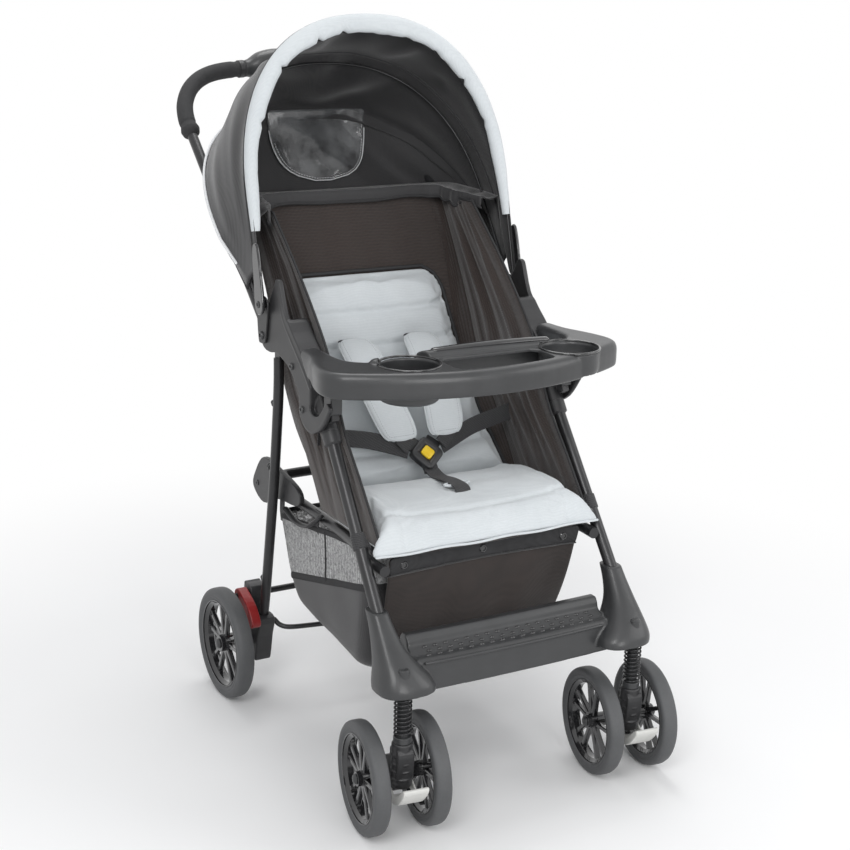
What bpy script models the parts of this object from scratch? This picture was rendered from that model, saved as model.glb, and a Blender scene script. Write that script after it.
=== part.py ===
"""Two-in-one stroller: tubular frame, sprung casters, reclining seat, tray, basket and folding hood.

Metres, +Z up. The ground is z = 0, the stroller faces -Y and x = 0 is its centre plane.
Names ending in _right are on the side of -X, the right hand of the seated child.
"""
import math

import bmesh
import bpy
from mathutils import Matrix, Vector

# Clearances
TOUCH = 0.0004

# Wheels
FRONT_WHEEL_R = 0.0785
FRONT_WHEEL_HALF_WIDTH = 0.012
REAR_WHEEL_R = 0.088
REAR_WHEEL_HALF_WIDTH = 0.01325
REAR_WHEEL_X = 0.227
REAR_AXLE_Y = 0.120
TYRE_SEGMENTS = 20
RIM_SEGMENTS = 30
HUB_SEGMENTS = 10
SPOKE_PAIRS = 5
RIM_DEPTH = 0.0065
HUB_OUTER = 0.0115

# Casters
CASTER_X = 0.187
CASTER_Y = -0.387
CASTER_TRAIL = 0.0285
CASTER_YAW = math.radians(-7.4)
TWIN_HALF_SPACING = 0.043

# Front suspension
STEM_R = 0.008
STEM_TOP_Z = 0.243
SPRING_FOOT_Z = 0.1475
SPRING_HEAD_Z = 0.2052
SPRING_TURNS = 9.0
SPRING_MEAN_R = 0.0110
SPRING_WIRE_R = 0.0015
POINTS_PER_CURL = 8

# Frame tubes
LEG_R = 0.009
REAR_LEG_R = 0.00775
HANDLE_R = 0.008
TUBE_WALL = 0.0012
HANDLE_X = 0.190

# Joints, as (y, z) of axes that run along X
FOLD_AXIS = (0.0115, 0.608)
HOOD_AXIS = (0.0015, 0.656)
MID_BOW_AXIS = (0.0195, 0.650)
RECLINE_AXIS = (-0.092, 0.3735)
BRAKE_AXIS = (0.1265, 0.160)

# Layers from the inside of a hinge to its outside, as distances from the centre plane
LEG_TANG_X = (0.1795, 0.1855)
HANDLE_TANG_X = (0.1866, 0.1930)
CHEEK_X = (0.1990, 0.2060)
HOOD_PLATE_X = (0.2066, 0.2098)
BOW_CLIP_X = (0.2104, 0.2146)

# Fold pin
PIN_R = 0.0035
PIN_HOLE_R = 0.0041

# Hood
HOOD_RIM_LEAN = math.radians(14.5)
HOOD_MID_LEAN = math.radians(34.0)
HOOD_REAR_LEAN = math.radians(53.0)
ARCH_POWER = 2.33
CROWN_STEPS = 8
ROLL_POINTS = 8

SIDES = (("right", -1.0), ("left", 1.0))

PALETTE = {
    "frame_tube": ((0.022, 0.022, 0.024), 0.32, 0.6),
    "black_plastic": ((0.028, 0.028, 0.030), 0.48, 0.0),
    "grip_foam": ((0.030, 0.030, 0.032), 0.80, 0.0),
    "tyre": ((0.045, 0.046, 0.048), 0.72, 0.0),
    "spring_steel": ((0.035, 0.035, 0.037), 0.35, 0.8),
    "steel": ((0.55, 0.55, 0.56), 0.30, 1.0),
    "pale_plastic": ((0.62, 0.62, 0.60), 0.45, 0.0),
    "red_plastic": ((0.42, 0.02, 0.02), 0.42, 0.0),
    "yellow_plastic": ((0.90, 0.62, 0.02), 0.40, 0.0),
    "pale_fabric": ((0.66, 0.69, 0.71), 0.90, 0.0),
    "black_fabric": ((0.022, 0.021, 0.022), 0.90, 0.0),
    "brown_mesh": ((0.045, 0.034, 0.030), 0.92, 0.0),
    "grey_mesh": ((0.30, 0.30, 0.30), 0.90, 0.0),
    "webbing": ((0.020, 0.020, 0.021), 0.75, 0.0),
}


def clear_scene():
    for old in list(bpy.data.objects):
        bpy.data.objects.remove(old, do_unlink=True)


def palette_material(slot):
    """One Principled material for each palette entry."""
    found = bpy.data.materials.get(slot)
    if found:
        return found
    colour, roughness, metallic = PALETTE[slot]
    material = bpy.data.materials.new(slot)
    material.use_nodes = True
    shader = material.node_tree.nodes["Principled BSDF"]
    shader.inputs["Base Color"].default_value = (*colour, 1.0)
    shader.inputs["Roughness"].default_value = roughness
    shader.inputs["Metallic"].default_value = metallic
    material.diffuse_color = (*colour, 1.0)
    return material


def solid(name, points, faces, slot="black_plastic", crease=40.0):
    """An object from points and faces, its faces turned outwards and its curves shaded smooth."""
    mesh = bpy.data.meshes.new(name)
    mesh.from_pydata([tuple(p) for p in points], [], faces)
    shape = bmesh.new()
    shape.from_mesh(mesh)
    bmesh.ops.recalc_face_normals(shape, faces=shape.faces)
    shape.to_mesh(mesh)
    shape.free()
    mesh.shade_smooth()
    mesh.set_sharp_from_angle(angle=math.radians(crease))
    piece = bpy.data.objects.new(name, mesh)
    piece.data.materials.append(palette_material(slot))
    bpy.context.collection.objects.link(piece)
    return piece


def from_rings(name, rings, slot="black_plastic", loop=False, crease=40.0):
    """A skin over rings of equal length. It closes on itself, or has a flat cap at each end."""
    count = len(rings[0])
    points = [point for ring in rings for point in ring]
    faces = []
    last = len(rings) if loop else len(rings) - 1
    for i in range(last):
        here = i * count
        there = ((i + 1) % len(rings)) * count
        for j in range(count):
            k = (j + 1) % count
            faces.append((here + j, here + k, there + k, there + j))
    if not loop:
        faces.append(tuple(range(count)))
        faces.append(tuple(range(len(points) - count, len(points))))
    return solid(name, points, faces, slot, crease)


def circle(centre, across, up, radius, sides, phase=0.0):
    """Points round a centre, in the plane of two unit vectors."""
    ring = []
    for i in range(sides):
        angle = phase + math.tau * i / sides
        ring.append(centre + across * (radius * math.cos(angle)) + up * (radius * math.sin(angle)))
    return ring


def path_frames(path, hint):
    """Two unit vectors across the path at each point, carried along without twist."""
    frames = []
    across = None
    for i, point in enumerate(path):
        before = path[max(i - 1, 0)]
        after = path[min(i + 1, len(path) - 1)]
        along = (after - before).normalized()
        start = hint if across is None else across
        across = (start - along * start.dot(along)).normalized()
        frames.append((across, along.cross(across).normalized()))
    return frames


def tube(name, path, radius, sides, slot, wall=None, hint=(1, 0, 0)):
    """A round bar along a path. With a wall it is a pipe, open at both ends."""
    path = [Vector(p) for p in path]
    frames = path_frames(path, Vector(hint))
    outer = [circle(p, a, b, radius, sides) for p, (a, b) in zip(path, frames)]
    if wall is None:
        return from_rings(name, outer, slot)
    inner = [circle(p, a, b, radius - wall, sides) for p, (a, b) in zip(path, frames)]
    return from_rings(name, outer + inner[::-1], slot, loop=True)


def turned(name, profile, centre, axis, sides, slot, loop=False, phase=0.0):
    """A turned shape: (radius, distance along the axis) pairs about a line through the centre."""
    axis = Vector(axis).normalized()
    hint = Vector((0, 0, 1)) if abs(axis.z) < 0.9 else Vector((1, 0, 0))
    across = (hint - axis * hint.dot(axis)).normalized()
    up = axis.cross(across)
    rings = [circle(Vector(centre) + axis * h, across, up, r, sides, phase) for r, h in profile]
    return from_rings(name, rings, slot, loop)


def prism(name, outline, low, high, slot="black_plastic", axis="X"):
    """An outline pulled out along X, where it is (y, z), or along Z, where it is (x, y)."""
    if axis == "X":
        rings = [[Vector((h, a, b)) for a, b in outline] for h in (low, high)]
    else:
        rings = [[Vector((a, b, h)) for a, b in outline] for h in (low, high)]
    return from_rings(name, rings, slot)


def box(name, low, high, slot="black_plastic"):
    outline = [(low[0], low[1]), (high[0], low[1]), (high[0], high[1]), (low[0], high[1])]
    return prism(name, outline, low[2], high[2], slot, axis="Z")


def combine(body, tools, operation="UNION"):
    """Joins the tools to a body, or cuts them from it, and removes them."""
    for tool in tools:
        modifier = body.modifiers.new(tool.name, "BOOLEAN")
        modifier.operation = operation
        modifier.solver = "EXACT"
        modifier.object = tool
    bpy.context.view_layer.update()
    graph = bpy.context.evaluated_depsgraph_get()
    result = bpy.data.meshes.new_from_object(body.evaluated_get(graph))
    body.modifiers.clear()
    body.data = result
    for tool in tools:
        bpy.data.objects.remove(tool, do_unlink=True)
    shape = bmesh.new()
    shape.from_mesh(result)
    bmesh.ops.remove_doubles(shape, verts=shape.verts, dist=0.00001)
    bmesh.ops.dissolve_limit(shape, angle_limit=math.radians(0.05), verts=shape.verts, edges=shape.edges)
    shape.to_mesh(result)
    shape.free()
    result.shade_smooth()
    result.set_sharp_from_angle(angle=math.radians(40.0))
    return body


def smooth_curve(knots, steps):
    """Points along a Catmull-Rom curve through the knots, each knot with its own number of values."""
    ends = [knots[0], *knots, knots[-1]]
    points = []
    for i in range(len(knots) - 1):
        a, b, c, d = ends[i:i + 4]
        for k in range(steps):
            t = k / steps
            weights = (-0.5 * t + t * t - 0.5 * t ** 3, 1 - 2.5 * t * t + 1.5 * t ** 3,
                       0.5 * t + 2 * t * t - 1.5 * t ** 3, -0.5 * t * t + 0.5 * t ** 3)
            points.append(tuple(sum(w * p[n] for w, p in zip(weights, (a, b, c, d)))
                                for n in range(len(a))))
    points.append(tuple(knots[-1]))
    return points


def grid_normals(grid):
    """A unit normal at each point of a grid of rows."""
    rows, columns = len(grid), len(grid[0])
    normals = []
    for i in range(rows):
        line = []
        for j in range(columns):
            along = grid[min(i + 1, rows - 1)][j] - grid[max(i - 1, 0)][j]
            across = grid[i][min(j + 1, columns - 1)] - grid[i][max(j - 1, 0)]
            line.append(across.cross(along).normalized())
        normals.append(line)
    return normals


def cloth(name, grid, front, back, slot, crease=60.0):
    """A closed sheet on a grid. Front and back give its two offsets at row i and column j."""
    rows, columns = len(grid), len(grid[0])
    normals = grid_normals(grid)
    points = []
    for sign, offset in ((1.0, front), (-1.0, back)):
        for i in range(rows):
            for j in range(columns):
                points.append(grid[i][j] + normals[i][j] * (sign * offset(i, j)))

    def index(side, i, j):
        return (side * rows + i) * columns + j

    faces = []
    for i in range(rows - 1):
        for j in range(columns - 1):
            corners = ((i, j), (i, j + 1), (i + 1, j + 1), (i + 1, j))
            faces.append(tuple(index(0, *c) for c in corners))
            faces.append(tuple(index(1, *c) for c in reversed(corners)))
    border = [(0, j) for j in range(columns)] + [(i, columns - 1) for i in range(1, rows)]
    border += [(rows - 1, j) for j in range(columns - 2, -1, -1)] + [(i, 0) for i in range(rows - 2, 0, -1)]
    for here, there in zip(border, border[1:] + border[:1]):
        faces.append((index(0, *here), index(0, *there), index(1, *there), index(1, *here)))
    return solid(name, points, faces, slot, crease)


def even(thickness):
    """A cloth offset that is the same everywhere."""
    return lambda i, j: thickness


def place(piece, matrix):
    """Moves the points of a piece, so that its own origin stays where it is."""
    piece.data.transform(matrix)
    return piece


def mirror_x(points):
    return [(-p[0], *p[1:]) for p in points]


# Front legs

LEG_LOW_Z = 0.268
LEG_HIGH_Z = 0.588


def front_leg_point(z, sign):
    """The leg's centre line: 36 degrees forward of vertical and a little splayed."""
    run = (z - 0.293) / 0.219
    return Vector((sign * (0.191 - 0.005 * run), -0.3225 + 0.161 * run, z))


def make_front_legs():
    for side, sign in SIDES:
        ends = [front_leg_point(LEG_LOW_Z, sign), front_leg_point(LEG_HIGH_Z, sign)]
        tube(f"front_leg_{side}", ends, LEG_R, 12, "frame_tube", TUBE_WALL)


# Brackets, where the front leg, the rear leg and the handle meet

CHEEK_OUTLINE = [
    (-0.024, 0.690), (-0.006, 0.662), (0.016, 0.632), (0.0265, 0.606), (0.0150, 0.590), (-0.006, 0.5865),
    (-0.031, 0.590), (-0.068, 0.580), (-0.093, 0.562), (-0.106, 0.545), (-0.106, 0.522), (-0.122, 0.505),
    (-0.145, 0.501), (-0.176, 0.516), (-0.199, 0.547), (-0.191, 0.556), (-0.170, 0.534), (-0.151, 0.529),
    (-0.139, 0.540), (-0.1385, 0.583), (-0.108, 0.612), (-0.084, 0.631), (-0.059, 0.652), (-0.042, 0.690),
    (-0.036, 0.697), (-0.029, 0.697),
]
FLANK_OUTLINE = [
    (-0.046, 0.604), (-0.068, 0.581), (-0.093, 0.563), (-0.106, 0.546), (-0.109, 0.528), (-0.139, 0.530),
    (-0.1385, 0.583), (-0.108, 0.612), (-0.084, 0.631), (-0.066, 0.6455), (-0.054, 0.638),
]
FLANK_X = (0.1730, 0.2060)


def make_brackets():
    for side, sign in SIDES:
        cheek = sorted(sign * x for x in CHEEK_X)
        flank = sorted(sign * x for x in FLANK_X)
        body = prism(f"bracket_{side}", CHEEK_OUTLINE, *cheek)
        low = front_leg_point(0.506, sign)
        high = front_leg_point(0.575, sign)
        sleeve = tube("sleeve", [low, high], LEG_R + 0.0035, 12, "black_plastic")
        combine(body, [prism("flank", FLANK_OUTLINE, *flank), sleeve])
        bore_ends = [front_leg_point(0.490, sign), front_leg_point(LEG_HIGH_Z + 0.001, sign)]
        bore = tube("bore", bore_ends, LEG_R + TOUCH, 12, "black_plastic")
        pin_hole = turned("pin_hole", [(PIN_HOLE_R, -0.02), (PIN_HOLE_R, 0.02)],
                          (sign * CHEEK_X[0], *FOLD_AXIS), (1, 0, 0), 12, "black_plastic")
        combine(body, [bore, pin_hole], "DIFFERENCE")


# Footrest with its two flared sockets

STEP_SECTION = [
    (-0.316, 0.226), (-0.318, 0.258), (-0.323, 0.264), (-0.334, 0.264), (-0.339, 0.257), (-0.341, 0.249),
    (-0.354, 0.2405), (-0.3635, 0.2385), (-0.3675, 0.2330), (-0.3700, 0.194), (-0.3640, 0.194), (-0.3600, 0.230),
    (-0.345, 0.236), (-0.326, 0.240), (-0.322, 0.226),
]
STEP_HALF_WIDTH = 0.150
STEP_BOW = 0.004
SOCKET_RINGS = [
    # centre x, centre y, z, half width, half depth
    (0.1755, -0.3680, 0.2052, 0.0420, 0.0370),
    (0.1780, -0.3670, 0.2180, 0.0400, 0.0360),
    (0.1840, -0.3590, 0.2380, 0.0290, 0.0310),
    (0.1890, -0.3450, 0.2600, 0.0200, 0.0235),
    (0.1905, -0.3300, 0.2820, 0.0155, 0.0185),
    (0.1912, -0.3160, 0.3010, 0.0135, 0.0165),
]
SOCKET_POINTS = 16


def superellipse(centre, half_x, half_y, power, count):
    ring = []
    for i in range(count):
        angle = math.tau * i / count
        c, s = math.cos(angle), math.sin(angle)
        x = half_x * math.copysign(abs(c) ** (2 / power), c)
        y = half_y * math.copysign(abs(s) ** (2 / power), s)
        ring.append(Vector((centre[0] + x, centre[1] + y, centre[2])))
    return ring


def make_footrest():
    stations = [-1.0, -0.6, -0.2, 0.2, 0.6, 1.0]
    rings = []
    for station in stations:
        bow = STEP_BOW * (1 - station ** 2)
        ring = []
        for y, z in STEP_SECTION:
            forward = max(0.0, (-0.345 - y) / 0.025)
            ring.append(Vector((station * STEP_HALF_WIDTH, y - bow * min(forward, 1.0), z)))
        rings.append(ring)
    body = from_rings("footrest", rings)
    sockets = []
    for side, sign in SIDES:
        stack = [superellipse((sign * x, y, z), w, d, 2.6, SOCKET_POINTS) for x, y, z, w, d in SOCKET_RINGS]
        sockets.append(from_rings(f"socket_{side}", stack))
    combine(body, sockets)
    bores = []
    for side, sign in SIDES:
        ends = [front_leg_point(LEG_LOW_Z - 0.001, sign), front_leg_point(0.330, sign)]
        bores.append(tube(f"leg_bore_{side}", ends, LEG_R + TOUCH, 12, "black_plastic"))
        bore = [(STEM_R + 0.0004, 0.190), (STEM_R + 0.0004, STEM_TOP_Z + 0.0135)]
        bores.append(turned(f"stem_bore_{side}", bore, (sign * CASTER_X, CASTER_Y, 0), (0, 0, 1), 12,
                            "black_plastic"))
    combine(body, bores, "DIFFERENCE")


# Front suspension

def spring_path(sign):
    """Nine and a half turns of one wire between its two seats."""
    low = SPRING_FOOT_Z + TOUCH + SPRING_WIRE_R
    high = SPRING_HEAD_Z - TOUCH - SPRING_WIRE_R
    count = int(SPRING_TURNS * POINTS_PER_CURL)
    start = 0.0 if sign < 0 else math.pi
    points = []
    for i in range(count + 1):
        angle = start + math.tau * SPRING_TURNS * i / count
        points.append(Vector((sign * CASTER_X + SPRING_MEAN_R * math.cos(angle),
                              CASTER_Y + SPRING_MEAN_R * math.sin(angle),
                              low + (high - low) * i / count)))
    return points


def least_gap(path, radius, skip):
    """The smallest space between two turns of a wire, from the points of its centre line."""
    least = min((path[i] - path[j]).length for i in range(len(path)) for j in range(i + skip, len(path)))
    return least - 2 * radius


def make_suspension():
    for side, sign in SIDES:
        profile = [(0.0052, 0.1130), (0.0052, 0.1385), (0.0125, 0.1385), (0.0125, SPRING_FOOT_Z),
                   (STEM_R, SPRING_FOOT_Z), (STEM_R, STEM_TOP_Z - 0.002), (STEM_R - 0.002, STEM_TOP_Z)]
        turned(f"caster_stem_{side}", profile, (sign * CASTER_X, CASTER_Y, 0), (0, 0, 1), 12, "steel")
        path = spring_path(sign)
        print("least gap of a spring in mm:", round(1000 * least_gap(path, SPRING_WIRE_R, 5), 2))
        tube(f"suspension_spring_{side}", path, SPRING_WIRE_R, 6, "spring_steel", hint=(0, 0, 1))


# Casters, drawn about their own swivel axis and then turned into place

CASTER_OUTLINE = [
    (-0.0150, 0.1380), (-0.0158, 0.1100), (-0.0125, 0.0900), (-0.0010, 0.0700), (0.0150, 0.0600),
    (0.0320, 0.0585), (0.0450, 0.0680), (0.0490, 0.0840), (0.0430, 0.0990), (0.0280, 0.1090),
    (0.0150, 0.1180), (0.0150, 0.1380),
]
CASTER_HALF_WIDTH = 0.0145
LEVER_TOE = [
    (-0.0035, 0.0600), (-0.0130, 0.0560), (-0.0340, 0.0650), (-0.0540, 0.0880), (-0.0505, 0.0945),
    (-0.0330, 0.0785), (-0.0165, 0.0700), (-0.0060, 0.0660),
]
LEVER_X = (0.0151, 0.0176)
AXLE_R = 0.004


def caster_matrix(sign):
    return Matrix.Translation((sign * CASTER_X, CASTER_Y, 0)) @ Matrix.Rotation(CASTER_YAW, 4, "Z")


def arc(centre, radius, start, end, count):
    """Points on a circle between two angles in degrees."""
    points = []
    for i in range(count):
        angle = math.radians(start + (end - start) * i / (count - 1))
        points.append((centre[0] + radius * math.cos(angle), centre[1] + radius * math.sin(angle)))
    return points


def make_caster(side, sign):
    axle = (CASTER_TRAIL, FRONT_WHEEL_R)
    half = CASTER_HALF_WIDTH
    body = prism(f"caster_body_{side}", CASTER_OUTLINE, -half, half)
    stem_bore = turned("stem_bore", [(0.0057, 0.1118), (0.0057, 0.150)], (0, 0, 0), (0, 0, 1), 10, "steel")
    axle_bore = turned("axle_bore", [(AXLE_R + TOUCH, -0.03), (AXLE_R + TOUCH, 0.03)], (0, *axle),
                       (1, 0, 0), 10, "steel")
    combine(body, [stem_bore, axle_bore], "DIFFERENCE")
    rod = turned(f"front_axle_{side}", [(AXLE_R, -0.057), (AXLE_R, 0.057)], (0, *axle), (1, 0, 0), 10, "steel")

    lever = prism(f"swivel_lock_{side}", LEVER_TOE, -LEVER_X[1] - TOUCH, LEVER_X[1] + TOUCH, "pale_plastic")
    arm = arc(axle, 0.0095, 110, -70, 6) + [(-0.0115, 0.0575), (-0.0160, 0.0685)]
    cheeks = [prism("cheek", arm, *sorted(turn * x for x in LEVER_X)) for turn in (-1, 1)]
    combine(lever, cheeks)
    lever_bore = turned("lever_bore", [(AXLE_R + 0.0005, -0.03), (AXLE_R + 0.0005, 0.03)], (0, *axle),
                        (1, 0, 0), 10, "steel")
    combine(lever, [lever_bore], "DIFFERENCE")

    pieces = [body, rod, lever]
    for place_name, offset in (("outer", sign), ("inner", -sign)):
        centre = (offset * TWIN_HALF_SPACING, *axle)
        pieces += make_wheel(f"front_rim_{place_name}_{side}", f"front_tyre_{place_name}_{side}", centre, offset,
                             FRONT_WHEEL_R, FRONT_WHEEL_HALF_WIDTH, 0.0125, 0.0235)
    for piece in pieces:
        place(piece, caster_matrix(sign))


# Wheels

def make_wheel(rim_name, tyre_name, centre, outward, radius, half_width, hub_r, hub_inner):
    """A spoked rim and its tyre. The tyre has a flat at the bottom, which is as low as the radius."""
    reach = 1.0 / math.cos(math.pi / TYRE_SEGMENTS)
    bed = radius * 0.785
    tread = [(bed + TOUCH, -0.85), (radius * 0.93, -1.0), (radius, -0.60), (radius, 0.60),
             (radius * 0.93, 1.0), (bed + TOUCH, 0.85)]
    tyre = turned(tyre_name, [(r * reach, h * half_width) for r, h in tread], centre, (1, 0, 0),
                  TYRE_SEGMENTS, "tyre", loop=True, phase=math.pi / TYRE_SEGMENTS)

    span = half_width * 0.85
    web = 0.0048
    low, high = (-hub_inner, HUB_OUTER) if outward > 0 else (-HUB_OUTER, hub_inner)
    well = bed - RIM_DEPTH
    bore = AXLE_R + 0.0006
    profiles = (
        (RIM_SEGMENTS, [(well, -web), (well, web), (bed, span), (bed, -span)]),
        (HUB_SEGMENTS, [(hub_r, -web), (hub_r, web), (hub_r * 0.8, high), (bore, high), (bore, low),
                        (hub_r * 0.8, low)]),
    )
    points = []
    bases = []
    for count, profile in profiles:
        bases.append(len(points))
        offset = 0.5 if count == RIM_SEGMENTS else 0.0
        for i in range(count):
            angle = math.tau * (i - offset) / count
            points += [(centre[0] + h, centre[1] + r * math.sin(angle), centre[2] + r * math.cos(angle))
                       for r, h in profile]

    def corner(which, segment, row):
        count, profile = profiles[which]
        return bases[which] + (segment % count) * len(profile) + row % len(profile)

    def window(which, segment):
        """The face that a spoke meets, on the ring or on the hub."""
        return [corner(which, segment, 0), corner(which, segment + 1, 0), corner(which, segment + 1, 1),
                corner(which, segment, 1)]

    spokes = []
    for pair in range(SPOKE_PAIRS):
        first = pair * RIM_SEGMENTS // SPOKE_PAIRS
        spokes += [(first - 1, 2 * pair - 1), (first + 1, 2 * pair)]
    open_ring = {segment % RIM_SEGMENTS for segment, hub_segment in spokes}
    faces = []
    for which, (count, profile) in enumerate(profiles):
        for i in range(count):
            for j in range(len(profile)):
                meets_spoke = j == 0 and (which == 1 or i in open_ring)
                if not meets_spoke:
                    faces.append((corner(which, i, j), corner(which, i + 1, j),
                                  corner(which, i + 1, j + 1), corner(which, i, j + 1)))
    for ring_segment, hub_segment in spokes:
        outer, inner = window(0, ring_segment), window(1, hub_segment)
        faces += [(outer[n], outer[(n + 1) % 4], inner[(n + 1) % 4], inner[n]) for n in range(4)]
    return [solid(rim_name, points, faces, "black_plastic"), tyre]


def make_rear_wheels():
    for side, sign in SIDES:
        make_wheel(f"rear_rim_{side}", f"rear_tyre_{side}", (sign * REAR_WHEEL_X, REAR_AXLE_Y, REAR_WHEEL_R),
                   sign, REAR_WHEEL_R, REAR_WHEEL_HALF_WIDTH, 0.0160, 0.0370)


# Rear legs, feet and cross bar

REAR_LEG_KNOTS = [
    (0.1850, 0.0085, 0.5200), (0.1810, 0.0295, 0.4100), (0.1770, 0.0535, 0.3100),
    (0.1740, 0.0825, 0.1800), (0.1715, 0.1038, 0.1055),
]
REAR_LEG_TOP = (0.1835, 0.0100, 0.5720)
FOOT_OUTLINE = [
    (0.0975, 0.060), (0.1040, 0.056), (0.1330, 0.056), (0.1405, 0.064), (0.1410, 0.168), (0.1345, 0.1765),
    (0.1190, 0.1765), (0.1130, 0.169), (0.1110, 0.139), (0.0800, 0.133), (0.0885, 0.100),
]
FOOT_X = (0.1590, 0.1868)


def tang(name, direction, length, width, layer, sign, hole_r):
    """The flattened, pierced end of a tube at the fold axis, pointing along a direction in (y, z)."""
    along = Vector((0, direction[0], direction[1])).normalized()
    across = Vector((0, -along.z, along.y))
    centre = Vector((0, *FOLD_AXIS))
    outline = [centre - across * width]
    for k in range(1, 6):
        turn = math.pi * k / 6
        outline.append(centre - across * (width * math.cos(turn)) - along * (width * math.sin(turn)))
    outline.append(centre + across * width)
    outline += [centre + along * length + across * width, centre + along * length - across * width]
    flat = [(p.y, p.z) for p in outline]
    return prism(name, flat, *sorted(sign * x for x in layer))


def fold_pin_hole(sign):
    return turned("pin_hole", [(PIN_HOLE_R, -0.02), (PIN_HOLE_R, 0.02)], (sign * 0.187, *FOLD_AXIS), (1, 0, 0),
                  12, "steel")


def rear_leg_path(sign):
    return [Vector((sign * x, y, z)) for x, y, z in [REAR_LEG_TOP, *smooth_curve(REAR_LEG_KNOTS, 2)]]


def make_rear_frame():
    for side, sign in SIDES:
        path = rear_leg_path(sign)
        leg = tube(f"rear_leg_{side}", path, REAR_LEG_R, 10, "frame_tube", TUBE_WALL, hint=(1, 0, 0))
        combine(leg, [tang("tang", (0.0, -1.0), 0.044, 0.0085, LEG_TANG_X, sign, PIN_HOLE_R)])
        combine(leg, [fold_pin_hole(sign)], "DIFFERENCE")

        foot = prism(f"rear_foot_{side}", FOOT_OUTLINE, *sorted(sign * x for x in FOOT_X))
        axle = turned("axle", [(AXLE_R, 0.0), (AXLE_R, 0.0585)], (sign * 0.180, REAR_AXLE_Y, REAR_WHEEL_R),
                      (sign, 0, 0), 10, "steel")
        combine(foot, [axle])
        seat = path[-1] + (path[-1] - path[-2]).normalized() * TOUCH
        bore = tube("bore", [*path[-4:-1], seat], REAR_LEG_R + 1.5 * TOUCH, 10, "steel", hint=(1, 0, 0))
        bar_bore = turned("bar_bore", [(0.0056, -0.03), (0.0056, 0.03)], (sign * 0.173, *BRAKE_AXIS), (1, 0, 0),
                          10, "steel")
        combine(foot, [bore, bar_bore], "DIFFERENCE")

    half = [(0.1586, 0.0945, 0.1230), (0.1545, 0.0945, 0.1230), (0.1480, 0.0890, 0.1150),
            (0.1350, 0.0810, 0.1115), (0.1000, 0.0720, 0.1115), (0.0500, 0.0640, 0.1115), (0.0, 0.0610, 0.1115)]
    path = mirror_x(half) + half[-2::-1]
    tube("rear_crossbar", path, 0.004, 8, "frame_tube", hint=(0, 0, 1))


PEDAL_OUTLINE = [
    (0.1365, 0.1500), (0.1375, 0.1650), (0.1290, 0.1720), (0.1180, 0.1715), (0.0860, 0.1560), (0.0690, 0.1360),
    (0.0700, 0.1265), (0.0790, 0.1250), (0.0960, 0.1370), (0.1200, 0.1485),
]


def make_brake():
    turned("brake_bar", [(0.005, -0.2055), (0.005, 0.2055)], (0, *BRAKE_AXIS), (1, 0, 0), 10, "frame_tube")
    for side, sign in SIDES:
        pedal = prism(f"brake_pedal_{side}", PEDAL_OUTLINE, *sorted((sign * 0.1885, sign * 0.2040)), "red_plastic")
        bore = turned("bore", [(0.0053, -0.03), (0.0053, 0.03)], (sign * 0.196, *BRAKE_AXIS), (1, 0, 0), 10,
                      "steel")
        combine(pedal, [bore], "DIFFERENCE")


# Handle

HANDLE_KNOTS = [
    (HANDLE_X, 0.0450, 0.6180), (HANDLE_X, 0.1500, 0.7110), (HANDLE_X, 0.2810, 0.8280), (HANDLE_X, 0.3260, 0.8680),
    (0.1885, 0.3480, 0.8875), (0.1810, 0.3690, 0.9065), (0.1640, 0.3900, 0.9260), (0.1385, 0.4070, 0.9410),
    (0.1060, 0.4165, 0.9500), (0.0600, 0.4210, 0.9540),
]
GRIP_R = 0.0136
GRIP_START = 3
CONSOLE_HALF_WIDTH = 0.0560


def make_handle():
    half = [*HANDLE_KNOTS, (0.0, 0.4210, 0.9540)]
    path = mirror_x(half) + half[-2::-1]
    handle = tube("handle_tube", path, HANDLE_R, 8, "frame_tube", TUBE_WALL, hint=(1, 0, 0))
    direction = (HANDLE_KNOTS[1][1] - HANDLE_KNOTS[0][1], HANDLE_KNOTS[1][2] - HANDLE_KNOTS[0][2])
    run = math.dist(FOLD_AXIS, HANDLE_KNOTS[0][1:]) + 0.006
    tangs = []
    for side, sign in SIDES:
        to_tube = (HANDLE_KNOTS[0][1] - FOLD_AXIS[0], HANDLE_KNOTS[0][2] - FOLD_AXIS[1])
        blend = (to_tube[0] + direction[0] * 0.05, to_tube[1] + direction[1] * 0.05)
        tangs.append(tang(f"tang_{side}", blend, run, 0.0085, HANDLE_TANG_X, sign, PIN_R))
    combine(handle, tangs)
    holes = [turned(f"hole_{side}", [(PIN_R + TOUCH, -0.02), (PIN_R + TOUCH, 0.02)],
                    (sign * 0.190, *FOLD_AXIS), (1, 0, 0), 12, "steel") for side, sign in SIDES]
    combine(handle, holes, "DIFFERENCE")

    for side, sign in SIDES:
        run_points = HANDLE_KNOTS[GRIP_START:-1] + [(0.0610, 0.4210, 0.9540)]
        points = [(sign * x, y, z) for x, y, z in run_points]
        tube(f"grip_{side}", points, GRIP_R, 8, "grip_foam", GRIP_R - HANDLE_R - TOUCH, hint=(1, 0, 0))


CONSOLE_STATIONS = [
    # x, height of the top over the bar, depth below it, half depth along Y
    (-0.0570, 0.0130, 0.0130, 0.0130), (-0.0480, 0.0165, 0.0140, 0.0150), (-0.0300, 0.0270, 0.0210, 0.0205),
    (0.0, 0.0320, 0.0235, 0.0225), (0.0300, 0.0270, 0.0210, 0.0205), (0.0480, 0.0165, 0.0140, 0.0150),
    (0.0570, 0.0130, 0.0130, 0.0130),
]
CONSOLE_POINTS = 12


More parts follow.
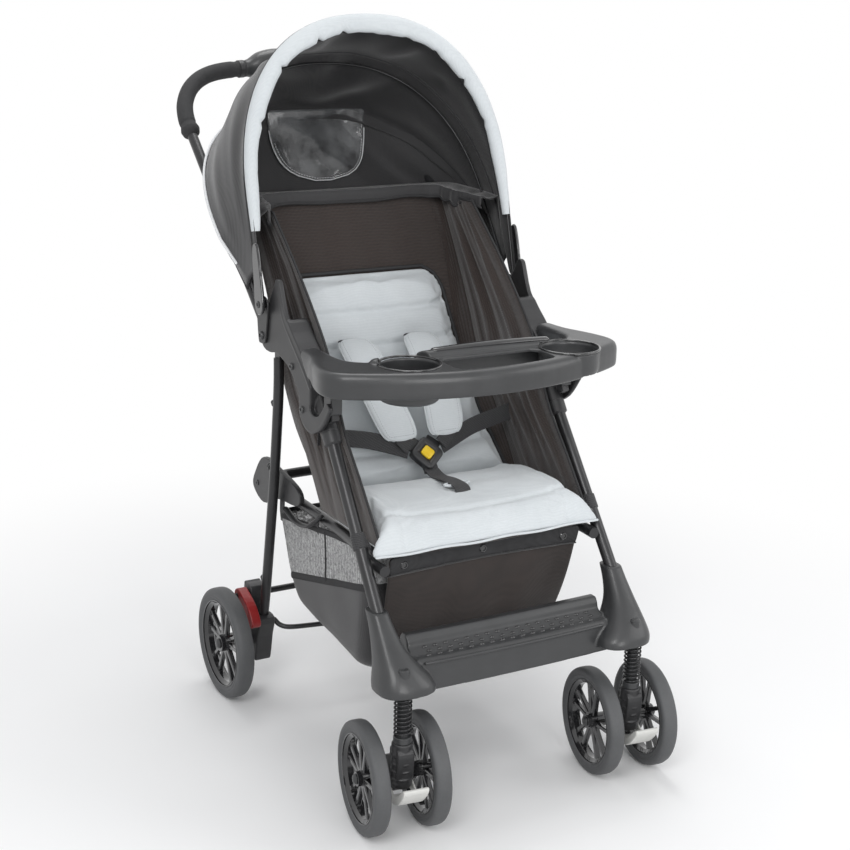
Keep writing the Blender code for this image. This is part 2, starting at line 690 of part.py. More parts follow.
def make_console():
    bar = Vector((0, 0.4210, 0.9540))
    outer = []
    inner = []
    for x, top, bottom, depth in CONSOLE_STATIONS:
        ring = []
        for i in range(CONSOLE_POINTS):
            angle = math.tau * i / CONSOLE_POINTS
            rise = math.sin(angle)
            ring.append(bar + Vector((x, depth * math.cos(angle), rise * (top if rise > 0 else bottom))))
        outer.append(ring)
        inner.append(circle(bar + Vector((x, 0, 0)), Vector((0, 1, 0)), Vector((0, 0, 1)), HANDLE_R + 0.0005,
                            CONSOLE_POINTS))
    console = from_rings("console", outer + inner[::-1], "black_plastic", loop=True)
    recess = box("recess", (-0.0255, 0.4095, 0.9200), (0.0255, 0.4325, 0.9415))
    combine(console, [recess], "DIFFERENCE")
    box("fold_trigger", (-0.0245, 0.4105, 0.9225), (0.0245, 0.4315, 0.9375), "black_plastic")


# Hood

def arch(lean, half_width, arm, crown, axis, low, count_arm, count_crown):
    """An arch in a plane through the hood's pivots: straight arms under a superellipse crown."""
    half = [(half_width, low + (arm - low) * i / count_arm) for i in range(count_arm)]
    for i in range(count_crown + 1):
        angle = 0.5 * math.pi * i / count_crown
        half.append((half_width * math.cos(angle) ** (2 / ARCH_POWER),
                     arm + crown * math.sin(angle) ** (2 / ARCH_POWER)))
    points = [(-x, s) for x, s in half] + [(x, s) for x, s in half[-2::-1]]
    return [Vector((x, axis[0] + s * math.sin(lean), axis[1] + s * math.cos(lean))) for x, s in points]


RIM_ARCH = (0.2128, 0.150, 0.254)
MID_ARCH = (0.2240, 0.140, 0.266)
MID_BOW_ARCH = (0.2143, 0.140, 0.251)
REAR_ARCH = (0.2310, 0.130, 0.277)
SHELL_ARCHES = [
    # lean in degrees, half width, arm, crown: behind the rim, over both bows and at the rear hem
    (14.5, 0.2172, 0.150, 0.256), (34.0, *MID_ARCH), (53.0, *REAR_ARCH), (70.0, 0.2065, 0.120, 0.172),
]
SHELL_LOW = 0.046
SHELL_FOOT_X = 0.2172
SHELL_ARM_STEPS = 2
SHELL_HALF_THICKNESS = 0.0011
SHELL_SAG = 0.020


def blend_values(first, second, t):
    return tuple(a + (b - a) * t for a, b in zip(first, second))


def hood_reach(point, pivot):
    """How far a point is from the hood's axis, seen from the side."""
    return math.hypot(point.y - pivot.y, point.z - pivot.z)


def hood_freedom(point, pivot):
    """0 near the hood's pivot and 1 over its crown."""
    return min(1.0, max(0.0, (hood_reach(point, pivot) - 0.10) / 0.25))


def sagged(point, pivot, share):
    """A point of the hood between two bows, drawn in towards the pivot."""
    return pivot + (point - pivot) * (1 - SHELL_SAG * share * hood_freedom(point, pivot))


def shell_row(lean, half_width, arm, crown):
    """One row of the hood's sheet: an arch whose arms run in to a common width at the pivot."""
    row = arch(math.radians(lean), half_width, arm, crown, HOOD_AXIS, SHELL_LOW, SHELL_ARM_STEPS, CROWN_STEPS)
    for j in range(SHELL_ARM_STEPS):
        x = SHELL_FOOT_X + (half_width - SHELL_FOOT_X) * j / SHELL_ARM_STEPS
        row[j].x = -x
        row[-1 - j].x = x
    return row


def make_hood():
    for side, sign in SIDES:
        plate_outline = [(0.0230, 0.6010), (0.0290, 0.6480), (0.0250, 0.6590), (0.0080, 0.6665), (-0.0070, 0.6610),
                         (-0.0085, 0.6480), (-0.0010, 0.6060), (0.0050, 0.5980), (0.0150, 0.5960)]
        plate = prism(f"canopy_mount_{side}", plate_outline, *sorted(sign * x for x in HOOD_PLATE_X))
        pin = turned("pin", [(PIN_R, -0.0335), (PIN_R, 0.001)], (sign * HOOD_PLATE_X[0], *FOLD_AXIS),
                     (sign, 0, 0), 12, "steel")
        head = turned("head", [(0.0055, -0.0335), (0.0055, -0.0278)], (sign * HOOD_PLATE_X[0], *FOLD_AXIS),
                      (sign, 0, 0), 12, "steel")
        combine(plate, [pin, head])
        holes = [turned("hole", [(0.0024, -0.01), (0.0024, 0.01)], (sign * HOOD_PLATE_X[0], *axis), (1, 0, 0), 10,
                        "steel") for axis in (HOOD_AXIS, MID_BOW_AXIS)]
        combine(plate, holes, "DIFFERENCE")

    for name, values, lean, axis, wire in (("canopy_bow", RIM_ARCH, HOOD_RIM_LEAN, HOOD_AXIS, 0.0020),
                                           ("canopy_mid_bow", MID_BOW_ARCH, HOOD_MID_LEAN, MID_BOW_AXIS, 0.0018)):
        half_width, arm, crown = values
        path = arch(lean, half_width, arm, crown, axis, 0.030, 2, CROWN_STEPS)
        clip_x = 0.5 * (BOW_CLIP_X[0] + BOW_CLIP_X[1])
        foot = Vector((0, *axis))
        path[0] = Vector((-clip_x, path[0].y, path[0].z))
        path[-1] = Vector((clip_x, path[-1].y, path[-1].z))
        path = [foot + Vector((-clip_x, 0, 0)), *path, foot + Vector((clip_x, 0, 0))]
        bow = tube(name, path, wire, 6, "frame_tube", hint=(1, 0, 0))
        ends = []
        for side, sign in SIDES:
            boss = [(0.0022, -0.0042), (0.0022, -0.0001), (0.0062, 0.0), (0.0062, BOW_CLIP_X[1] - BOW_CLIP_X[0])]
            ends.append(turned(f"boss_{side}", boss, (sign * BOW_CLIP_X[0], *axis), (sign, 0, 0), 10, "steel"))
        combine(bow, ends)

    half_width, arm, crown = RIM_ARCH
    centre_line = arch(HOOD_RIM_LEAN, half_width, arm, crown, HOOD_AXIS, 0.104, 3, CROWN_STEPS)
    plane_normal = Vector((0, -math.cos(HOOD_RIM_LEAN), math.sin(HOOD_RIM_LEAN)))
    outer = []
    inner = []
    last = len(centre_line) - 1
    for i, point in enumerate(centre_line):
        along = (centre_line[min(i + 1, last)] - centre_line[max(i - 1, 0)]).normalized()
        radial = along.cross(plane_normal).normalized()
        share = math.sin(math.pi * (0.02 + 0.96 * i / last)) ** 0.8
        half_radial = 0.0036 + 0.0098 * share
        half_normal = 0.0036 + 0.0066 * share
        outward = 0.0034 + 0.0046 * share
        centre = point + radial * (half_radial - outward)
        ring = []
        for k in range(ROLL_POINTS):
            angle = math.tau * k / ROLL_POINTS
            ring.append(centre + radial * (half_radial * math.cos(angle))
                        + plane_normal * (half_normal * math.sin(angle)))
        outer.append(ring)
        inner.append(circle(point, radial, plane_normal, 0.0027, ROLL_POINTS))
    from_rings("canopy_rim", outer + inner[::-1], "pale_fabric", loop=True)

    grid = []
    pivot = Vector((0, *HOOD_AXIS))
    for first, second in zip(SHELL_ARCHES, SHELL_ARCHES[1:]):
        for step in range(3):
            t = step / 3
            lean, half_width, arm, crown = blend_values(first, second, t)
            row = shell_row(lean, half_width, arm, crown)
            grid.append([sagged(point, pivot, math.sin(math.pi * t)) for point in row])
    grid.append(shell_row(*SHELL_ARCHES[-1]))
    for j, point in enumerate(grid[0]):
        behind = min(0.0072, 0.068 * hood_reach(point, pivot)) + 0.0060 * hood_freedom(point, pivot)
        grid[0][j] = point - plane_normal * behind
    shell = cloth("canopy_shell", grid, even(SHELL_HALF_THICKNESS), even(SHELL_HALF_THICKNESS), "black_fabric")
    gates = []
    for side, sign in SIDES:
        ends = [(sign * HANDLE_X, 0.1500, 0.7110), (sign * HANDLE_X, 0.3000, 0.8450)]
        gates.append(tube(f"gate_{side}", ends, HANDLE_R + 0.0035, 10, "steel"))
    combine(shell, gates, "DIFFERENCE")


# Seat

SEAT_TUBE_HALF = [
    (0.1707, -0.3010, 0.3460), (0.1707, -0.2500, 0.3460), (0.1530, -0.1500, 0.3460), (0.1500, 0.0800, 0.3460),
    (0.1430, 0.1130, 0.3460), (0.1220, 0.1340, 0.3460), (0.0900, 0.1400, 0.3460),
]
BACK_KNOTS = [
    (RECLINE_AXIS[0], RECLINE_AXIS[1]), (-0.045, 0.4120), (0.012, 0.4620), (0.052, 0.5200), (0.082, 0.5880),
    (0.112, 0.6680), (0.165, 0.7850),
]
BACK_STEPS = 3
BACK_HALF_THICKNESS = 0.0025
WING_X = 0.1684
WING_FRONT = [(-0.288, 0.3700), (-0.226, 0.4460), (-0.172, 0.5100), (-0.125, 0.6000), (-0.040, 0.6900),
              (0.060, 0.7750)]
WING_REAR = [(-0.104, 0.3700), (-0.039, 0.4600), (0.020, 0.5300), (0.066, 0.6200), (0.115, 0.7050),
             (0.160, 0.7750)]


def make_seat_frame():
    path = mirror_x(SEAT_TUBE_HALF) + SEAT_TUBE_HALF[::-1]
    tube("seat_tube", path, HANDLE_R, 8, "frame_tube", TUBE_WALL, hint=(0, 0, 1))

    line = smooth_curve(BACK_KNOTS, BACK_STEPS)
    grid = []
    for i, (y, z) in enumerate(line):
        share = i / (len(line) - 1)
        half_width = 0.1530 - 0.016 * max(0.0, (share - 0.85) / 0.15) ** 2
        grid.append([Vector((half_width * k, y, z)) for k in (-1.0, 0.0, 1.0)])
    cloth("backrest_board", grid, even(BACK_HALF_THICKNESS), even(BACK_HALF_THICKNESS), "brown_mesh")


def make_sling():
    front = smooth_curve(WING_FRONT, 2)
    rear = smooth_curve(WING_REAR, 2)
    rows = 4
    grid = []
    for i in range(rows + 1):
        share = i / rows
        wing = []
        for k, (f, r) in enumerate(zip(front, rear)):
            belly = math.sin(math.pi * share) * math.sin(math.pi * min(1.0, k / 8))
            x = WING_X - 0.0018 * belly * (1 + math.cos(4.0 * math.pi * share))
            wing.append((x, f[0] + (r[0] - f[0]) * share, f[1] + (r[1] - f[1]) * share))
        low_y = wing[0][1]
        floor = [(0.1672, low_y, 0.3590), (0.1500, low_y, 0.3580), (0.0750, low_y, 0.3575), (0.0, low_y, 0.3570)]
        half = wing[::-1] + floor
        line = [Vector((-x, y, z)) for x, y, z in half] + [Vector(p) for p in half[-2::-1]]
        grid.append(line)
    cloth("seat_sling", grid, even(0.0008), even(0.0008), "brown_mesh")


def seam(value, lines, width):
    """0 on a seam and 1 away from all of them."""
    nearest = min(abs(value - line) for line in lines)
    return min(1.0, nearest / width) ** 0.7


def make_seat_pad():
    knots = [
        # y, z of the underside, thickness at the middle, half width
        (-0.2900, 0.3625, 0.0140, 0.1630), (-0.2840, 0.3625, 0.0290, 0.1630), (-0.2600, 0.3625, 0.0400, 0.1630),
        (-0.2250, 0.3625, 0.0465, 0.1625), (-0.1800, 0.3625, 0.0460, 0.1625), (-0.1350, 0.3625, 0.0390, 0.1620),
        (-0.1080, 0.3625, 0.0300, 0.1600), (-0.1010, 0.3625, 0.0180, 0.1585),
    ]
    columns = 15
    grid = []
    for y, z, thick, half_width in knots:
        grid.append([Vector((half_width * (2 * j / (columns - 1) - 1), y, z)) for j in range(columns)])

    def top(i, j):
        across = abs(2 * j / (columns - 1) - 1)
        roll = 1 + 0.16 * math.exp(-((across - 0.86) / 0.12) ** 2)
        edge = max(0.0, 1 - across ** 14) ** 0.5
        along = seam(i, (2.0, 5.0), 1.0)
        return knots[i][2] * (0.30 + 0.70 * edge) * roll * (0.93 + 0.07 * along)

    cloth("seat_pad", grid, top, even(0.0), "pale_fabric")


def back_pad_line():
    """The pad's back, a little ahead of the board, from its foot to its top edge."""
    fine = smooth_curve(BACK_KNOTS, BACK_STEPS)
    points = []
    for i, (y, z) in enumerate(fine):
        before = Vector(fine[max(i - 1, 0)])
        after = Vector(fine[min(i + 1, len(fine) - 1)])
        along = (after - before).normalized()
        ahead = Vector((-along.y, along.x)) * (BACK_HALF_THICKNESS + 2 * TOUCH)
        points.append((y + ahead.x, z + ahead.y))
    return points[2:-BACK_STEPS]


def make_back_pad():
    line = back_pad_line()
    columns = 13
    rows = len(line)
    grid = []
    for i, (y, z) in enumerate(line):
        share = i / (rows - 1)
        half_width = 0.1590 - 0.026 * max(0.0, (share - 0.45) / 0.55) ** 1.5
        grid.append([Vector((half_width * (2 * j / (columns - 1) - 1), y, z)) for j in range(columns)])

    def front(i, j):
        share = i / (rows - 1)
        across = abs(2 * j / (columns - 1) - 1)
        edge = max(0.0, 1 - across ** 8) ** 0.5 * max(0.0, 1 - abs(2 * share - 1) ** 10) ** 0.5
        channel = seam(share, (0.36, 0.55, 0.74), 0.055)
        return 0.0045 + 0.0160 * edge * (0.62 + 0.38 * channel)

    cloth("back_pad", grid, front, even(0.0), "pale_fabric")


def make_front_panel():
    columns = 13
    rows = 6
    grid = []
    for i in range(rows):
        down = i / (rows - 1)
        line = []
        for j in range(columns):
            across = 2 * j / (columns - 1) - 1
            x = across * (0.1540 - 0.008 * down)
            top_y = -0.2700 - 0.0140 * across ** 2
            low_y = -0.2600 + 0.0330 * across ** 2
            fold = 0.0030 * math.sin(3.2 * math.pi * across) * down * (1 - 0.5 * down)
            bulge = -0.0070 * math.sin(math.pi * down)
            z = 0.3556 - (0.1640 + 0.007 * across ** 2) * down
            line.append(Vector((x, top_y + (low_y - top_y) * down + fold + bulge, z)))
        grid.append(line)
    cloth("front_panel", grid, even(0.0008), even(0.0008), "black_fabric")


BASKET_RINGS = [
    # front y, rear y, z at the front, z at the rear, half width
    (-0.1650, -0.0200, 0.1510, 0.1800, 0.1150), (-0.2040, 0.0090, 0.1580, 0.1880, 0.1500),
    (-0.2170, 0.0340, 0.1950, 0.2050, 0.1560), (-0.2270, 0.0640, 0.2580, 0.2500, 0.1560),
    (-0.2330, 0.0880, 0.3340, 0.3000, 0.1560),
]
BASKET_WALL = 0.0016


def basket_ring(front, rear, front_z, rear_z, half_width, inset):
    """A rounded rectangle that leans with the basket's rim, with a light sag in its long sides."""
    corner = 0.030
    hw = half_width - inset
    fy = front + inset
    ry = rear - inset
    outline = []
    for cx, cy, start in ((hw - corner, ry - corner, 0), (corner - hw, ry - corner, 90),
                          (corner - hw, fy + corner, 180), (hw - corner, fy + corner, 270)):
        for k in range(4):
            angle = math.radians(start + 30 * k)
            outline.append((cx + corner * math.cos(angle), cy + corner * math.sin(angle)))
    ring = []
    for x, y in outline:
        share = (y - front) / (rear - front)
        ring.append(Vector((x, y, front_z + (rear_z - front_z) * share)))
    return ring


def make_basket():
    outer = [basket_ring(*values, 0.0) for values in BASKET_RINGS]
    inner = [[p + Vector((0, 0, BASKET_WALL if i < 2 else 0.0)) for p in basket_ring(*values, BASKET_WALL)]
             for i, values in enumerate(BASKET_RINGS)]
    from_rings("basket", outer + inner[::-1], "grey_mesh")


# Harness

BUCKLE_CENTRE = Vector((0, -0.1075, 0.4340))
BUCKLE_NORMAL = Vector((0, -math.cos(math.radians(40)), math.sin(math.radians(40))))


def buckle_matrix():
    up = Vector((0, math.sin(math.radians(40)), math.cos(math.radians(40))))
    basis = Matrix((Vector((1, 0, 0)), up, BUCKLE_NORMAL)).transposed()
    turn = Matrix.Rotation(math.radians(38), 4, "Z")
    return Matrix.Translation(BUCKLE_CENTRE) @ basis.to_4x4() @ turn


def rounded_plate(name, half, low, high, slot, power=5.0, count=20):
    rings = [superellipse((0, 0, h), half * k, half * k, power, count)
             for h, k in ((low, 0.94), (low + 0.0015, 1.0), (high - 0.0015, 1.0), (high, 0.92))]
    return from_rings(name, rings, slot)


def strap(name, path, width, thickness, slot, across=(1, 0, 0)):
    """Flat webbing along a path. Its width lies along the given direction."""
    path = [Vector(p) for p in path]
    wide = Vector(across)
    rings = []
    for i, point in enumerate(path):
        along = (path[min(i + 1, len(path) - 1)] - path[max(i - 1, 0)]).normalized()
        side = (wide - along * wide.dot(along)).normalized()
        lift = along.cross(side).normalized()
        rings.append([point + side * (width / 2 * a) + lift * (thickness / 2 * b)
                      for a, b in ((-1, -1), (1, -1), (1, 1), (-1, 1))])
    return from_rings(name, rings, slot)


def make_harness():
    buckle = rounded_plate("buckle", 0.0205, -0.0065, 0.0065, "black_plastic")
    pocket = rounded_plate("pocket", 0.0094, -0.0018, 0.0120, "black_plastic", count=16)
    combine(buckle, [pocket], "DIFFERENCE")
    button = rounded_plate("buckle_button", 0.0088, 0.0018, 0.0080, "yellow_plastic", count=16)
    for piece in (buckle, button):
        place(piece, buckle_matrix())

    strap("crotch_strap", [(0, -0.1285, 0.4120), (0, -0.1450, 0.4105), (0, -0.1750, 0.4130), (0, -0.2000, 0.4140),
                           (0, -0.2150, 0.4135)], 0.025, 0.0016, "webbing")
    half = [(0.1635, -0.0790, 0.4700), (0.1300, -0.0810, 0.4670), (0.0900, -0.0760, 0.4620),
            (0.0600, -0.0700, 0.4580), (0.0300, -0.0670, 0.4545), (0.0, -0.0660, 0.4530)]
    path = mirror_x(half) + half[-2::-1]
    strap("lap_belt", path, 0.025, 0.0016, "webbing", across=(0, 0.25, 1))

    for side, sign in SIDES:
        knots = [(0.0560, 0.0140, 0.5800), (0.0530, -0.0240, 0.5500), (0.0490, -0.0580, 0.5150),
                 (0.0450, -0.0840, 0.4850), (0.0425, -0.0990, 0.4630)]
        line = smooth_curve(knots, 2)
        columns = 7
        rows = len(line)
        grid = []
        for i, (x, y, z) in enumerate(line):
            share = i / (rows - 1)
            half_width = 0.0255 * max(0.25, (1 - abs(2 * share - 1) ** 5)) ** 0.5
            grid.append([Vector((sign * x + half_width * (2 * j / (columns - 1) - 1), y, z))
                         for j in range(columns)])

        def swell(i, j):
            edge = (1 - abs(2 * j / 6 - 1) ** 4) * (1 - abs(2 * i / 8 - 1) ** 8)
            return 0.0012 + 0.0040 * edge

        cloth(f"shoulder_pad_{side}", grid, swell, swell, "pale_fabric")


# Tray

TRAY_LOW_Z = 0.5800
TRAY_TOP_Z = 0.6155
TRAY_WALL = 0.0035
CUP_RIGHT = (-0.1120, -0.2520)
CUP_LEFT = (0.1390, -0.2625)
CUP_R = 0.0400


def tray_front_y(x):
    """The front edge in plan, a shallow bow."""
    return -0.3280 + 1.32 * x * x


def tray_outline(inset):
    """Half of the tray's outline in plan, from the front to the end of its arm and back to the rail."""
    front = [(x, tray_front_y(x) + inset) for x in (0.0, 0.05, 0.10, 0.14, 0.175, 0.203)]
    corner = [(0.2200 - inset * 0.6, -0.2630 + inset * 0.7), (0.2310 - inset, -0.2480), (0.2345 - inset, -0.2300),
              (0.2305 - inset, -0.2050), (0.2220 - inset, -0.1780), (0.2130 - inset, -0.1520),
              (0.2090 - inset, -0.1150)]
    inner = [(0.1780 + inset, -0.1150), (0.1780 + inset, -0.1800), (0.1690 + inset, -0.2060),
             (0.1500, -0.2180 - inset), (0.0, -0.2180 - inset)]
    return front + corner + inner


def full_outline(half):
    return half + [(-x, y) for x, y in half[-2:0:-1]]


def make_tray():
    tray = prism("tray", full_outline(tray_outline(0.0)), TRAY_LOW_Z, TRAY_TOP_Z, axis="Z")
    hollow = prism("hollow", full_outline(tray_outline(TRAY_WALL)), TRAY_LOW_Z - 0.01, TRAY_TOP_Z - TRAY_WALL,
                   axis="Z")
    combine(tray, [hollow], "DIFFERENCE")
    walls = []
    for name, centre, low in (("right", CUP_RIGHT, 0.5660), ("left", CUP_LEFT, TRAY_LOW_Z)):
        radius = CUP_R + 0.003
        walls.append(turned(f"cup_{name}", [(radius * 0.90, low), (radius, low + 0.006), (radius, TRAY_TOP_Z - 0.001)],
                            (*centre, 0), (0, 0, 1), 20, "black_plastic"))
    rail = prism("rail", [(-0.1500, -0.2380), (0.1500, -0.2380), (0.1500, -0.2185), (-0.1500, -0.2185)],
                 TRAY_TOP_Z - 0.010, TRAY_TOP_Z + 0.007, axis="Z")
    tongues = [box(f"tongue_{side}", (min(sign * 0.1800, sign * 0.1975), -0.1900, 0.5370),
                   (max(sign * 0.1800, sign * 0.1975), -0.1660, TRAY_TOP_Z - 0.001)) for side, sign in SIDES]
    combine(tray, [*walls, rail, *tongues])
    gap = [(x, tray_front_y(x) + 0.0160) for x in (-0.066, -0.03, 0.02, 0.06, 0.090)]
    gap += [(0.0920, -0.2880), (0.0900, -0.2460), (-0.0620, -0.2460), (-0.0660, -0.2700)]
    cuts = [
        prism("gap", gap, 0.55, 0.64, axis="Z"),
        turned("bore_right", [(CUP_R, 0.5705), (CUP_R, 0.65)], (*CUP_RIGHT, 0), (0, 0, 1), 20, "black_plastic"),
        turned("bore_left", [(CUP_R, 0.55), (CUP_R, 0.65)], (*CUP_LEFT, 0), (0, 0, 1), 20, "black_plastic"),
        prism("end", [(-0.1410, 0.5600), (-0.1410, 0.5835), (-0.1105, 0.6128), (-0.1000, 0.6230), (0.0, 0.6230),
                      (0.0, 0.5600)], -0.25, 0.25),
    ]
    combine(tray, cuts, "DIFFERENCE")


# Pivots

def parent_moving_pieces():
    """An empty on each joint's axis carries the pieces that turn or slide there."""
    def carried(*starts):
        return [o for o in bpy.data.objects if o.type == "MESH" and o.name.startswith(starts)]

    pivots = {
        "fold_pivot": ((0, *FOLD_AXIS), carried("handle_tube", "grip", "console", "fold_trigger", "canopy_mount",
                                                "canopy_shell")),
        "rear_frame_pivot": ((0, *FOLD_AXIS), carried("rear_leg", "rear_foot", "rear_crossbar")),
        "hood_pivot": ((0, *HOOD_AXIS), carried("canopy_bow", "canopy_rim")),
        "mid_bow_pivot": ((0, *MID_BOW_AXIS), carried("canopy_mid_bow")),
        "recline_pivot": ((0, *RECLINE_AXIS), carried("backrest_board", "back_pad", "shoulder_pad")),
        "brake_pivot": ((0, *BRAKE_AXIS), carried("brake_")),
    }
    for side, sign in SIDES:
        swivel = [o for o in carried("caster_body", "front_axle", "swivel_lock", "front_rim", "front_tyre",
                                     "caster_stem") if o.name.endswith(side)]
        pivots[f"caster_pivot_{side}"] = ((sign * CASTER_X, CASTER_Y, 0), swivel)
        pivots[f"rear_axle_pivot_{side}"] = ((sign * REAR_WHEEL_X, REAR_AXLE_Y, REAR_WHEEL_R),
                                             [o for o in carried("rear_rim", "rear_tyre") if o.name.endswith(side)])
    for name, (spot, pieces) in pivots.items():
        empty = bpy.data.objects.new(name, None)
        empty.empty_display_size = 0.03
        empty.location = spot
        bpy.context.collection.objects.link(empty)
        for piece in pieces:
            piece.parent = empty
            piece.matrix_parent_inverse = Matrix.Translation(-Vector(spot))


def main():
    clear_scene()
    make_front_legs()
    make_brackets()
    make_footrest()
    make_suspension()
    for side, sign in SIDES:
        make_caster(side, sign)
    make_rear_wheels()
    make_rear_frame()
    make_brake()
    make_handle()
    make_console()
    make_hood()
    make_seat_frame()
    make_sling()
    make_seat_pad()
    make_back_pad()
    make_front_panel()
    make_basket()
    make_harness()
    make_tray()
    parent_moving_pieces()


main()
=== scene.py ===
"""The look of a folding stroller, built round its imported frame. Metres, +Z up, the stroller faces -Y."""
import math

import bmesh
import bpy
import numpy as np
from mathutils import Matrix, Vector, noise


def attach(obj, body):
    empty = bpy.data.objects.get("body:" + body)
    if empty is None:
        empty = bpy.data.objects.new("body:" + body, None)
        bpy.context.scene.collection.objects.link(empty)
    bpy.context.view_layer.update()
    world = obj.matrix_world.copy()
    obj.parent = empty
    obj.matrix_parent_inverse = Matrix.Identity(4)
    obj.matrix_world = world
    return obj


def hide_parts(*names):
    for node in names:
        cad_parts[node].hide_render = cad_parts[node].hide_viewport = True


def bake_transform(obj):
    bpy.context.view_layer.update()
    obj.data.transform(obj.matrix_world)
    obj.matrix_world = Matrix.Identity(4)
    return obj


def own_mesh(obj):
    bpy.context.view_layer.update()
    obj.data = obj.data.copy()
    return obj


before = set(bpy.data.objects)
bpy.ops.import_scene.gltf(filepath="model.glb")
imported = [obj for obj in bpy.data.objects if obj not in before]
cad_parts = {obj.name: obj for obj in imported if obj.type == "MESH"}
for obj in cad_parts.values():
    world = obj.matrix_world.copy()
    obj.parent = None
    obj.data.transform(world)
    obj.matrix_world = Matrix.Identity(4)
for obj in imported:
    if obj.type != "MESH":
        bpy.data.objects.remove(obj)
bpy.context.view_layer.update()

SIDES = (("right", -1.0), ("left", 1.0))
UP = Vector((0, 0, 1))
CREASE, CLOTH_CREASE = 38.0, 70.0  # degrees above which an edge is drawn sharp


# Materials

def feed(tree, socket, value):
    """Links another node's output to a socket, or sets the socket's own value."""
    if isinstance(value, bpy.types.NodeSocket):
        tree.links.new(value, socket)
    else:
        socket.default_value = value


def put(tree, kind, inputs=None, **settings):
    """A new node with its settings and inputs."""
    made = tree.nodes.new("ShaderNode" + kind)
    for key, value in settings.items():
        setattr(made, key, value)
    for key, value in (inputs or {}).items():
        feed(tree, made.inputs[key], value)
    return made


def texture(tree, place, kind, scale):
    """One pattern, from 0 to 1: noise, cells, or bands across an axis."""
    inputs = {"Scale": scale, "Vector": place.outputs["Object"]}
    if kind == "noise":
        return put(tree, "TexNoise", {**inputs, "Detail": 5.0, "Roughness": 0.6}).outputs["Fac"]
    if kind == "cells":
        return put(tree, "TexVoronoi", inputs).outputs["Distance"]
    return put(tree, "TexWave", {**inputs, "Distortion": 0.6}, bands_direction=kind).outputs["Fac"]


LOOKS = {}  # the slot name and the material, by the name of the look


def surface(look, slot, name, dark, light, rough, layers, bump, depth, metallic=0.0, sheen=0.0, coat=0.0, wear=0.0,
            alpha=None):
    """A material whose colour, roughness and relief come from layers of (pattern, scale, shade, height)."""
    made = bpy.data.materials.new(name)
    made.use_nodes = True
    tree = made.node_tree
    place = put(tree, "TexCoord")
    shade = height = 0.0
    for kind, scale, *weights in layers:
        out = texture(tree, place, kind, scale)
        shade, height = [put(tree, "Math", {0: out, 1: weight, 2: below}, operation="MULTIPLY_ADD").outputs[0]
                         for weight, below in zip(weights, (shade, height))]
    total = sum(layer[2] for layer in layers)
    fit = put(tree, "MapRange", {"Value": shade, "From Min": 0.22 * total, "From Max": 0.78 * total}).outputs[0]
    colour = put(tree, "Mix", {0: fit, 6: (*dark, 1.0), 7: (*light, 1.0)}, data_type="RGBA").outputs[2]
    if wear:
        edge = put(tree, "NewGeometry").outputs["Pointiness"]
        worn = put(tree, "MapRange", {"Value": edge, "From Min": 0.52, "From Max": 0.66, "To Max": wear}).outputs[0]
        rubbed = (*[min(1.0, c * 1.8 + 0.05) for c in light], 1.0)
        colour = put(tree, "Mix", {0: worn, 6: colour, 7: rubbed}, data_type="RGBA").outputs[2]
    rub = put(tree, "MapRange", {"Value": fit, "To Min": max(0.0, rough - 0.07), "To Max": min(1.0, rough + 0.07)})
    relief = put(tree, "Bump", {"Strength": bump, "Distance": depth, "Height": height})
    wanted = {"Base Color": colour, "Roughness": rub.outputs[0], "Normal": relief.outputs[0], "Metallic": metallic,
              "Sheen Weight": sheen, "Coat Weight": coat}
    if alpha:
        kind, scale, low, high = alpha
        wanted["Alpha"] = put(tree, "MapRange", {"Value": texture(tree, place, kind, scale), "From Min": 0.35,
                                                 "From Max": 0.60, "To Min": low, "To Max": high}).outputs[0]
    for key, value in wanted.items():
        feed(tree, tree.nodes["Principled BSDF"].inputs[key], value)
    LOOKS[look] = (slot, made)


def weave(scale, shade=0.12, height=0.5):
    return [(axis, scale, shade, height) for axis in "XYZ"]


GRAIN = [("noise", 900.0, 0.25, 0.6), ("noise", 35.0, 0.5, 0.1), ("cells", 1400.0, 0.05, 0.5)]
TAPE = weave(240.0, 0.3, 0.8) + [("noise", 30.0, 0.4, 0.2)]
surface("frame_tube", "frame_tube", "powder coat", (0.017, 0.017, 0.018), (0.036, 0.036, 0.038), 0.34,
        [("noise", 1300.0, 0.3, 0.5), ("noise", 25.0, 0.6, 0.1)], 0.12, 0.0003, metallic=0.35, coat=0.15)
surface("black_plastic", "black_plastic", "moulded black", (0.016, 0.016, 0.017), (0.030, 0.030, 0.032), 0.42, GRAIN,
        0.22, 0.0004, wear=0.06)
surface("satin", "black_plastic", "satin black", (0.026, 0.027, 0.028), (0.042, 0.043, 0.045), 0.36, GRAIN, 0.15,
        0.0003, coat=0.08, wear=0.06)
surface("gloss", "black_plastic", "polished black", (0.012, 0.012, 0.013), (0.026, 0.026, 0.028), 0.12,
        [("noise", 30.0, 1.0, 0.2)], 0.05, 0.0003, coat=0.6)
surface("grip_foam", "grip_foam", "foam", (0.016, 0.016, 0.017), (0.045, 0.045, 0.047), 0.82,
        [("cells", 900.0, 0.4, 1.0), ("noise", 60.0, 0.5, 0.4)], 0.55, 0.0006)
surface("tyre", "tyre", "tyre rubber", (0.052, 0.054, 0.056), (0.098, 0.100, 0.104), 0.58,
        [("noise", 500.0, 0.35, 0.6), ("noise", 18.0, 0.6, 0.1)], 0.25, 0.0004, wear=0.15)
surface("spring_steel", "spring_steel", "coated wire", (0.018, 0.018, 0.019), (0.045, 0.045, 0.047), 0.30,
        [("noise", 700.0, 0.6, 0.4)], 0.15, 0.0003, metallic=0.6)
surface("steel", "steel", "turned steel", (0.42, 0.42, 0.43), (0.62, 0.62, 0.63), 0.28,
        [("Z", 700.0, 0.4, 0.5), ("noise", 80.0, 0.5, 0.2)], 0.12, 0.0002, metallic=1.0)
